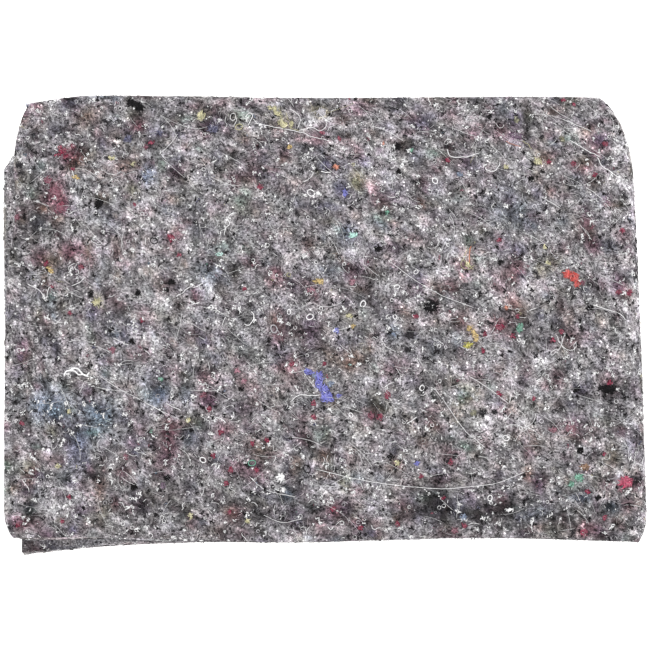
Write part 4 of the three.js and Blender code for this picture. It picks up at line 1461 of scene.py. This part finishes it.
@dataclass
class Strands:
    """A joined mesh of many strands, each a three-sided tube with pointed ends and a dye of its own."""

    name: str
    finish: FibreFinish
    cell_margin: float = 0.1
    points: int = 0
    strands: int = 0
    places: list[np.ndarray] = field(default_factory=list)
    faces: list[np.ndarray] = field(default_factory=list)
    tints: list[np.ndarray] = field(default_factory=list)
    cells: list[np.ndarray] = field(default_factory=list)

    @staticmethod
    def tube_faces(steps: int) -> np.ndarray:
        """The triangles of a strand, whose points are one end, rings of three and the other end.

        Args:
            steps: how many points the strand's line has.

        Returns:
            Rows of three points.
        """
        last = 3 * (steps - 2) + 1
        faces = []
        for j in range(3):
            k = (j + 1) % 3
            faces.append((0, 1 + k, 1 + j))
            faces.append((last, last - 3 + j, last - 3 + k))
            for ring in range(steps - 3):
                low = 1 + 3 * ring
                faces.append((low + j, low + k, low + 3 + k))
                faces.append((low + j, low + 3 + k, low + 3 + j))
        return np.array(faces)

    def add(self, points: np.ndarray, ups: np.ndarray, widths: np.ndarray, tints: np.ndarray) -> None:
        """Adds strands of the same number of points.

        Args:
            points: the points of each strand.
            ups: the cloth's normals there.
            widths: the strands' widths.
            tints: their colours in linear light.
        """
        count, steps, _ = points.shape
        ways = np.gradient(points, axis=1)
        ways /= np.maximum(np.linalg.norm(ways, axis=2, keepdims=True), TINY)
        across = np.cross(ways, ups)
        across /= np.maximum(np.linalg.norm(across, axis=2, keepdims=True), TINY)
        over = np.cross(across, ways)
        radius = widths[:, None, None] / 2
        body = points[:, 1:-1]
        rings = []
        for angle in (math.pi / 2, math.pi * 7 / 6, math.pi * 11 / 6):
            side = math.cos(angle) * across[:, 1:-1] + math.sin(angle) * over[:, 1:-1]
            rings.append(body + radius * side)
        middle = np.stack(rings, axis=2).reshape(count, 3 * (steps - 2), 3)
        places = np.concatenate([points[:, :1], middle, points[:, -1:]], axis=1)
        size = places.shape[1]
        offsets = self.points + size * np.arange(count)
        self.faces.append((self.tube_faces(steps)[None] + offsets[:, None, None]).reshape(-1, 3))
        self.places.append(places.reshape(-1, 3))
        self.tints.append(np.repeat(tints, size, axis=0))
        along = np.concatenate([[0.0], np.repeat(np.arange(1, steps - 1), 3), [steps - 1.0]]) / (steps - 1)
        round_it = np.concatenate([[0.5], np.tile([0.0, 0.5, 1.0], steps - 2), [0.5]])
        number = np.repeat(self.strands + np.arange(count), size)
        self.cells.append(np.column_stack([number, np.tile(along, count), np.tile(round_it, count)]))
        self.points += count * size
        self.strands += count

    def build(self) -> bpy.types.Object:
        """Joins the strands into one mesh, with a bake map that has a cell for each strand.

        Returns:
            The piece.
        """
        places = np.concatenate(self.places)
        faces = np.concatenate(self.faces)
        mesh = bpy.data.meshes.new(self.name)
        mesh.vertices.add(len(places))
        mesh.vertices.foreach_set("co", places.ravel())
        mesh.loops.add(faces.size)
        mesh.loops.foreach_set("vertex_index", faces.ravel())
        mesh.polygons.add(len(faces))
        mesh.polygons.foreach_set("loop_start", np.arange(0, faces.size, 3))
        mesh.update(calc_edges=True)
        mesh.shade_smooth()
        tints = np.column_stack([np.concatenate(self.tints), np.ones(len(places))])
        layer = mesh.color_attributes.new(TINT, "FLOAT_COLOR", "POINT")
        layer.data.foreach_set("color", tints.ravel())
        cells = np.concatenate(self.cells)
        side = math.ceil(math.sqrt(self.strands))
        room = self.cell_margin + (1 - 2 * self.cell_margin) * cells[:, 1:]
        corner = np.column_stack([cells[:, 0] % side, cells[:, 0] // side])
        places_2d = (corner + room) / side
        bake = mesh.uv_layers.new(name=BAKE_MAP)
        bake.data.foreach_set("uv", places_2d[faces.ravel()].ravel())
        mesh.materials.append(self.finish.material())
        piece = bpy.data.objects.new(self.name, mesh)
        bpy.context.scene.collection.objects.link(piece)
        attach(piece, BODY)
        LOG.info("%s: %d strands, %d faces", self.name, self.strands, len(faces))
        return piece


def bent(headings: np.ndarray, bends: np.ndarray, steps: int) -> np.ndarray:
    """The headings of strands at each of their points, where each turns evenly by its bend."""
    return headings[:, None] + bends[:, None] * np.linspace(-0.5, 0.5, steps)[None, :]


@dataclass(frozen=True)
class Grain:
    """The direction in which carding has laid the fibres, which drifts over a few centimetres."""

    lean: float = -0.5
    drift: float = 0.55
    across: float = 9.0
    along: float = 7.5
    slanting: float = 13.0
    skew: float = 0.05
    phases: tuple[float, float, float] = (1.3, -0.4, 2.1)

    def at(self, spots: np.ndarray) -> np.ndarray:
        """The headings of fibres at places on the cloth, in radians."""
        x, y, z = (spots / MM).T
        first, second, third = self.phases
        waves = (np.sin(x / self.across + first) + np.sin(y / self.along + second + self.skew * x)
                 + np.sin((x + y + z) / self.slanting + third))
        return self.lean + self.drift * waves


GRAIN = Grain()


@dataclass
class FibreCoat:
    """One kind of loose fibre that covers the felt.

    A real fibre is too fine to show, so each one is drawn some ten times as thick.
    """

    name: str
    count: int
    dyes: DyeMix
    length: tuple[float, float]
    width: tuple[float, float]
    rise: tuple[float, float]
    bend: float
    grain_spread: float = 0.55
    cling: float = 0.0
    haze: float = 0.0
    spare: int = 3
    odds_range: tuple[float, float] = (0.05, 4)
    shade_spread: float = 0.14
    tone_and_painted_light_depth: float = 0.85
    mixing: float = 0.5
    brightest: float = 0.9
    steps: int = 5
    seed: int = 1

    def build(self, surface: ClothSurface, clumps: Clumps, shreds: Clumps) -> bpy.types.Object:
        """Sets the fibres on the cloth.

        Args:
            surface: the cloth.
            clumps: the clumps of grey fibres that they come from.
            shreds: the larger shreds that are dyed.

        Returns:
            The piece.
        """
        rng = np.random.default_rng(self.seed)
        spots, normals, faces = surface.roots(self.spare * self.count, rng)
        corners = surface.corners[faces, 0]
        near = clumps.nearest(spots)
        odds = np.clip(clumps.shades[near] * surface.lights[corners], *self.odds_range) ** self.haze
        kept = rng.choice(len(spots), self.count, replace=False, p=odds / odds.sum())
        spots, normals, corners, near = spots[kept], normals[kept], corners[kept], near[kept]
        headings = GRAIN.at(spots) + rng.normal(0, self.grain_spread, self.count)
        lengths = rng.uniform(*self.length, self.count) * MM
        widths = rng.uniform(*self.width, self.count) * MM
        rises = rng.uniform(*self.rise, self.count) * MM
        turns = bent(headings, rng.normal(0, self.bend, self.count), self.steps)
        points, ups = surface.lay(spots, normals, turns, lengths, rises)
        tints = draw_dyes(self.dyes, self.count, rng)
        clings = rng.random((self.count, 1)) < self.cling
        tints = np.where(clings, clumps.colours[near], tints)
        alone = rng.random(self.count) < self.mixing
        chances = np.where(alone, rng.random(self.count), shreds.chances[shreds.nearest(spots)])
        tints = surface.dyed(tints, corners, chances)
        shades = np.exp(rng.normal(0, self.shade_spread, self.count))
        # The fibres follow the sheet's patches, so they carry its painted light rims and painted shade
        # too.
        shades = shades * surface.lights[corners] ** self.tone_and_painted_light_depth
        tints = tints * surface.washes[corners] * shades[:, None]
        # Torn and carded cloth: dull fibres, each in the worn dye of the cloth that it came from.
        strands = Strands(self.name, FibreFinish(f"{self.name}_of_shredded_textile"))
        strands.add(points, ups, widths, np.clip(tints, 0, self.brightest))
        return strands.build()


@dataclass
class Flecks:
    """Scraps of shredded textile: the ones that show best are placed, and small ones are scattered.

    Each is a small tuft of short thick fibres.
    """

    surface: ClothSurface
    studio: Studio
    placed_name: str = "textile_flecks"
    scattered_name: str = "knots_and_specks"
    scattered: tuple[tuple[Dye, int, float], ...] = (
        (Dye.BLACK, 2800, 1.15), (Dye.WHITE, 3000, 1.35), (Dye.CHARCOAL, 700, 1.45), (Dye.PALE, 100, 1.3),
        (Dye.RED, 14, 1.0), (Dye.MAROON, 60, 1.0), (Dye.ROSE, 30, 1.0), (Dye.YELLOW, 10, 1.0),
        (Dye.ORANGE, 2, 1.0), (Dye.NAVY, 40, 1.0), (Dye.STEEL, 30, 1.0), (Dye.SKY, 20, 1.0),
        (Dye.GREEN, 6, 1.0), (Dye.MINT, 2, 1.0), (Dye.PURPLE, 30, 1.0))
    size: tuple[float, float] = (1.1, 3.6)
    size_power: float = 2.4
    stretch: tuple[float, float] = (1, 2)
    on_sides: float = 0.4
    rise: tuple[float, float] = (0.5, 1.1)
    placed_fill: float = 0.9
    scattered_fill: float = 0.38
    least_fibres: int = 2
    spread: float = 0.42
    spread_power: float = 0.7
    swerve: float = 1.6
    bend: float = 1.4
    fibre_length: tuple[float, float] = (0.4, 1.0)
    fibre_width: tuple[float, float] = (0.6, 1.2)
    width_share: float = 0.38
    widest: float = 0.95
    roughness: float = 0.85
    wear: float = 0.25
    vivid: float = 0.04
    greying: float = 0.4
    shade_spread: float = 0.25
    brightest: float = 0.95
    placed_steps: int = 4
    scattered_steps: int = 3
    seed: int = 21

    def build(self) -> list[bpy.types.Object]:
        """Makes the flecks.

        Returns:
            The piece of placed flecks and the piece of scattered ones.
        """
        self.rng = np.random.default_rng(self.seed)
        # Scraps of dyed cloth that the shredder left whole: dull, and the strongest colours in the felt.
        placed = Strands(self.placed_name, FibreFinish("shredded_dyed_textile", self.roughness))
        rows = []
        for fleck in FLECKS:
            found = self.studio.cast(self.surface.tree, fleck.px, fleck.py)
            if found is not None:
                rows.append((*found, fleck))
        self.tuft(placed, rows, self.placed_steps, self.placed_fill)
        # Fibres that carding rolled into knots: dull white, black and grey grains.
        scattered = Strands(self.scattered_name, FibreFinish("knotted_textile_fibre", self.roughness))
        rows = []
        small, large = self.size
        for dye, count, bulk in self.scattered:
            spots, normals, _ = self.surface.roots(count, self.rng, side=self.on_sides)
            for spot, normal in zip(spots, normals):
                size = bulk * (small + (large - small) * self.rng.random() ** self.size_power)
                stretch = self.rng.uniform(*self.stretch)
                rows.append((spot, normal, Fleck(dye, 0, 0, size, stretch, self.rng.uniform(0, 180))))
        self.tuft(scattered, rows, self.scattered_steps, self.scattered_fill)
        return [placed.build(), scattered.build()]

    def tuft(self, strands: Strands, rows: Sequence[tuple[np.ndarray, np.ndarray, Fleck]], steps: int,
             fill: float) -> None:
        """Adds a tuft of fibres for each fleck.

        Args:
            strands: the piece that they join.
            rows: the flecks, each with its place and the cloth's normal there.
            steps: the points of a fibre.
            fill: the fibres for each square millimetre.
        """
        rng = self.rng
        spots = np.array([row[0] for row in rows])
        normals = np.array([row[1] for row in rows])
        flecks = [row[2] for row in rows]
        sizes = np.array([fleck.size for fleck in flecks])
        counts = np.rint(self.least_fibres + fill * sizes ** 2).astype(int)
        owner = np.repeat(np.arange(len(rows)), counts)
        total = len(owner)
        sizes = sizes[owner]
        stretch = np.array([fleck.stretch for fleck in flecks])[owner]
        turn = np.radians([fleck.turn for fleck in flecks])[owner]
        across, along = self.surface.axes(normals)
        far = self.spread * sizes * rng.random(total) ** self.spread_power * MM
        way = rng.uniform(0, 2 * math.pi, total)
        u = far * np.cos(way) * np.sqrt(stretch)
        v = far * np.sin(way) / np.sqrt(stretch)
        first = u * np.cos(turn) - v * np.sin(turn)
        second = u * np.sin(turn) + v * np.cos(turn)
        middles = spots[owner] + first[:, None] * across[owner] + second[:, None] * along[owner]
        headings = turn + rng.normal(0, self.swerve / stretch, total)
        turns = bent(headings, rng.normal(0, self.bend, total), steps)
        lengths = sizes * rng.uniform(*self.fibre_length, total) * MM
        widest = np.minimum(self.width_share * sizes, self.widest)
        widths = widest * rng.uniform(*self.fibre_width, total) * MM
        rises = rng.uniform(*self.rise, total) * MM
        points, ups = self.surface.lay(middles, normals[owner], turns, lengths, rises)
        colours = np.array([fleck.dye.rgb for fleck in flecks])
        vivid = np.ptp(colours, axis=1, keepdims=True) > self.vivid
        rubbed = np.where(vivid, Dye.PALE.rgb, np.minimum(colours + self.greying * Dye.SLATE.rgb, 1))
        tints = colours[owner] + self.wear * rng.random((total, 1)) * (rubbed - colours)[owner]
        tints = tints * np.exp(rng.normal(0, self.shade_spread, (total, 1)))
        strands.add(points, ups, widths, np.clip(tints, 0, self.brightest))


@dataclass
class Threads:
    """Loose threads: the long ones and rings that show are placed, and short curls are scattered."""

    surface: ClothSurface
    studio: Studio
    name: str = "loose_threads"
    roughness: float = 0.6
    curls: int = 1900
    curl_dyes: DyeMix = ((Dye.WHITE, 0.69), (Dye.PALE, 0.21), (Dye.BLACK, 0.09), (Dye.YELLOW, 0.01))
    curl_length: tuple[float, float] = (2.2, 13)
    length_power: float = 3.5
    curl_width: tuple[float, float] = (0.3, 0.62)
    curl_rise: tuple[float, float] = (0.6, 1.4)
    curl_swerve: float = 0.9
    curl_bend: float = 1.8
    curl_sway: float = 1.3
    curl_waves: float = 3 * math.pi
    curl_steps: int = 7
    phase: float = 6
    shade: float = -0.05
    shade_spread: float = 0.25
    brightest: float = 0.95
    hairs: int = 820
    hair_lean: float = -0.5
    hair_swerve: float = 0.6
    hair_bend: float = 0.7
    hair_length: tuple[float, float] = (10, 32)
    hair_width: tuple[float, float] = (0.14, 0.3)
    hair_steps: int = 9
    loops: int = 540
    loop_size: tuple[float, float] = (1.2, 3.0)
    loop_round: float = 2.2 * math.pi
    loop_steps: int = 9
    long_steps: int = 34
    wobble: float = 0.7
    ring_round: float = 2.15 * math.pi
    ring_uneven: float = 0.15
    ring_steps: int = 16
    mm_per_pixel: float = 0.74
    lift: float = 0.7
    end_slope: float = 4
    dip: float = 0.6
    dip_waves: float = 0.12
    seed: int = 33

    def build(self) -> bpy.types.Object:
        """Lays the threads, rings, curls, hairs and loops.

        Returns:
            The piece.
        """
        self.rng = np.random.default_rng(self.seed)
        # Sewing thread and yarn ends: smoother than the felt, so they catch the light along them.
        self.strands = Strands(self.name, FibreFinish("bleached_polyester_thread", self.roughness))
        for thread in THREADS:
            self.add_route(self.smooth(thread.route), thread.width, thread.dye)
        for ring in RINGS:
            self.add_route(self.circle(ring), ring.width, ring.dye)
        self.scatter_curls()
        self.scatter_hairs()
        self.scatter_loops()
        return self.strands.build()

    def scatter_curls(self) -> None:
        """Adds short curled threads that sway from side to side, few of them long."""
        rng, count = self.rng, self.curls
        spots, normals, _ = self.surface.roots(count, rng)
        headings = GRAIN.at(spots) + rng.normal(0, self.curl_swerve, count)
        shortest, longest = self.curl_length
        lengths = (shortest + (longest - shortest) * rng.random(count) ** self.length_power) * MM
        sways = rng.uniform(0, self.curl_sway, (count, 1))
        phases = rng.uniform(0, self.phase, (count, 1))
        waves = sways * np.sin(np.linspace(0, self.curl_waves, self.curl_steps)[None, :] + phases)
        turns = bent(headings, rng.normal(0, self.curl_bend, count), self.curl_steps) + waves
        self.add_scattered(spots, normals, turns, lengths, self.curl_width)

    def scatter_hairs(self) -> None:
        """Adds long thin hairs, which lean one way."""
        rng, count = self.rng, self.hairs
        spots, normals, _ = self.surface.roots(count, rng)
        headings = rng.normal(self.hair_lean, self.hair_swerve, count)
        turns = bent(headings, rng.normal(0, self.hair_bend, count), self.hair_steps)
        lengths = rng.uniform(*self.hair_length, count) * MM
        self.add_scattered(spots, normals, turns, lengths, self.hair_width)

    def scatter_loops(self) -> None:
        """Adds small closed loops."""
        rng, count = self.rng, self.loops
        spots, normals, _ = self.surface.roots(count, rng)
        rounds = np.linspace(0, self.loop_round, self.loop_steps)[None, :]
        turns = rng.uniform(0, 2 * math.pi, (count, 1)) + rounds
        lengths = self.loop_round / 2 * rng.uniform(*self.loop_size, count) * MM
        self.add_scattered(spots, normals, turns, lengths, self.curl_width)

    def add_scattered(self, spots: np.ndarray, normals: np.ndarray, turns: np.ndarray, lengths: np.ndarray,
                      width: tuple[float, float]) -> None:
        """Lays scattered threads on the cloth.

        Args:
            spots: their middles.
            normals: the cloth's normals there.
            turns: the heading of each at each of its points.
            lengths: their lengths.
            width: their least and largest widths in millimetres.
        """
        rng, count = self.rng, len(spots)
        rises = rng.uniform(*self.curl_rise, count) * MM
        points, ups = self.surface.lay(spots, normals, turns, lengths, rises)
        tints = draw_dyes(self.curl_dyes, count, rng)
        tints = tints * np.exp(rng.normal(self.shade, self.shade_spread, (count, 1)))
        widths = rng.uniform(*width, count) * MM
        self.strands.add(points, ups, widths, np.clip(tints, 0, self.brightest))

    def smooth(self, route: Sequence[Pixel]) -> np.ndarray:
        """A smooth line through a thread's places, with a slight wobble.

        Args:
            route: the places.

        Returns:
            Pixels in rows.
        """
        given = np.array([(spot.px, spot.py) for spot in route])
        padded = np.vstack([2 * given[0] - given[1], given, 2 * given[-1] - given[-2]])
        at = np.linspace(0, len(given) - 1, self.long_steps)
        piece = np.minimum(at.astype(int), len(given) - 2)
        t = (at - piece)[:, None]
        p0, p1, p2, p3 = (padded[piece + i] for i in range(4))
        line = 0.5 * (2 * p1 + (p2 - p0) * t + (2 * p0 - 5 * p1 + 4 * p2 - p3) * t ** 2
                      + (3 * p1 - p0 - 3 * p2 + p3) * t ** 3)
        waves = np.cumsum(self.rng.normal(0, 1, line.shape), axis=0)
        waves -= np.linspace(0, 1, len(line))[:, None] * waves[-1]
        return line + self.wobble * waves / max(1.0, np.abs(waves).max())

    def circle(self, ring: Ring) -> np.ndarray:
        """The uneven round of a curled thread end.

        Args:
            ring: the curled end.

        Returns:
            Pixels in rows.
        """
        start = self.rng.uniform(0, 2 * math.pi)
        angle = start + np.linspace(0, self.ring_round, self.ring_steps)
        even = ring.size / 2 / self.mm_per_pixel
        radius = even * (1 + self.ring_uneven * np.sin(2 * angle + self.rng.uniform(0, self.phase)))
        return np.column_stack([ring.px + radius * np.cos(angle), ring.py + radius * np.sin(angle)])

    def add_route(self, line: np.ndarray, width: float, dye: Dye) -> None:
        """Casts a line of pixels on to the cloth and adds it as a thread.

        Args:
            line: pixels in rows.
            width: the thread's width in millimetres.
            dye: its dye.
        """
        found = [self.studio.cast(self.surface.tree, px, py) for px, py in line]
        found = [spot for spot in found if spot is not None]
        places = np.array([place for place, _ in found])
        ups = np.array([normal for _, normal in found])
        ends = np.minimum(1, self.end_slope * np.sin(np.linspace(0, math.pi, len(found))))
        waves = np.linspace(0, self.dip_waves * len(line) * math.pi, len(found))
        dips = 1 + self.dip * np.sin(waves + places[0, 0] / MM)
        height = self.lift * MM * ends * dips
        places = places + height[:, None] * ups
        self.strands.add(places[None], ups[None], np.array([width * MM]), dye.rgb[None])


COATS = (
    FibreCoat("short_fibres", 25500, dyes=((Dye.CHARCOAL, 0.4), (Dye.SLATE, 0.3), (Dye.GREY, 0.3)),
              length=(1.8, 5.0), width=(0.3, 0.65), rise=(0.1, 0.35), bend=1.0, cling=0.7,
              steps=3, seed=101),
    FibreCoat("mixed_fibres", 13000, dyes=((Dye.BLACK, 0.14), (Dye.SLATE, 0.22), (Dye.GREY, 0.26),
                                           (Dye.SILVER, 0.24), (Dye.PALE, 0.14)),
              length=(2.5, 7.0), width=(0.22, 0.42), rise=(0.2, 0.55), bend=1.0, cling=0.5,
              steps=4, seed=102),
    FibreCoat("pale_fibres", 13500, dyes=((Dye.SILVER, 0.34), (Dye.PALE, 0.36), (Dye.WHITE, 0.3)),
              length=(2.2, 7.5), width=(0.2, 0.38), rise=(0.25, 0.75), bend=1.15, cling=0.05, haze=0.25,
              steps=4, seed=103),
)


def main() -> None:
    """Builds the cloth, what lies on it and the studio."""
    logging.basicConfig(level=logging.INFO, format="%(name)s: %(message)s")
    studio = Studio()
    studio.build()
    sheet = FoldedSheet()
    sheet.build()
    LOG.info("felt_sheet: %d faces", len(sheet.piece.data.polygons))
    surface = ClothSurface(sheet.piece)
    clumps = Clumps(count=24000)
    clumps.scatter(surface)
    shreds = Clumps(count=7000, seed=9)
    shreds.scatter(surface)
    FeltToneAndPaintedLight(surface, clumps, shreds, studio).paint()
    pieces = [coat.build(surface, clumps, shreds) for coat in COATS]
    pieces += Flecks(surface, studio).build()
    pieces.append(Threads(surface, studio).build())
    sheet.dress(FeltFinish(), pieces)


if __name__ == "__main__":
    main()
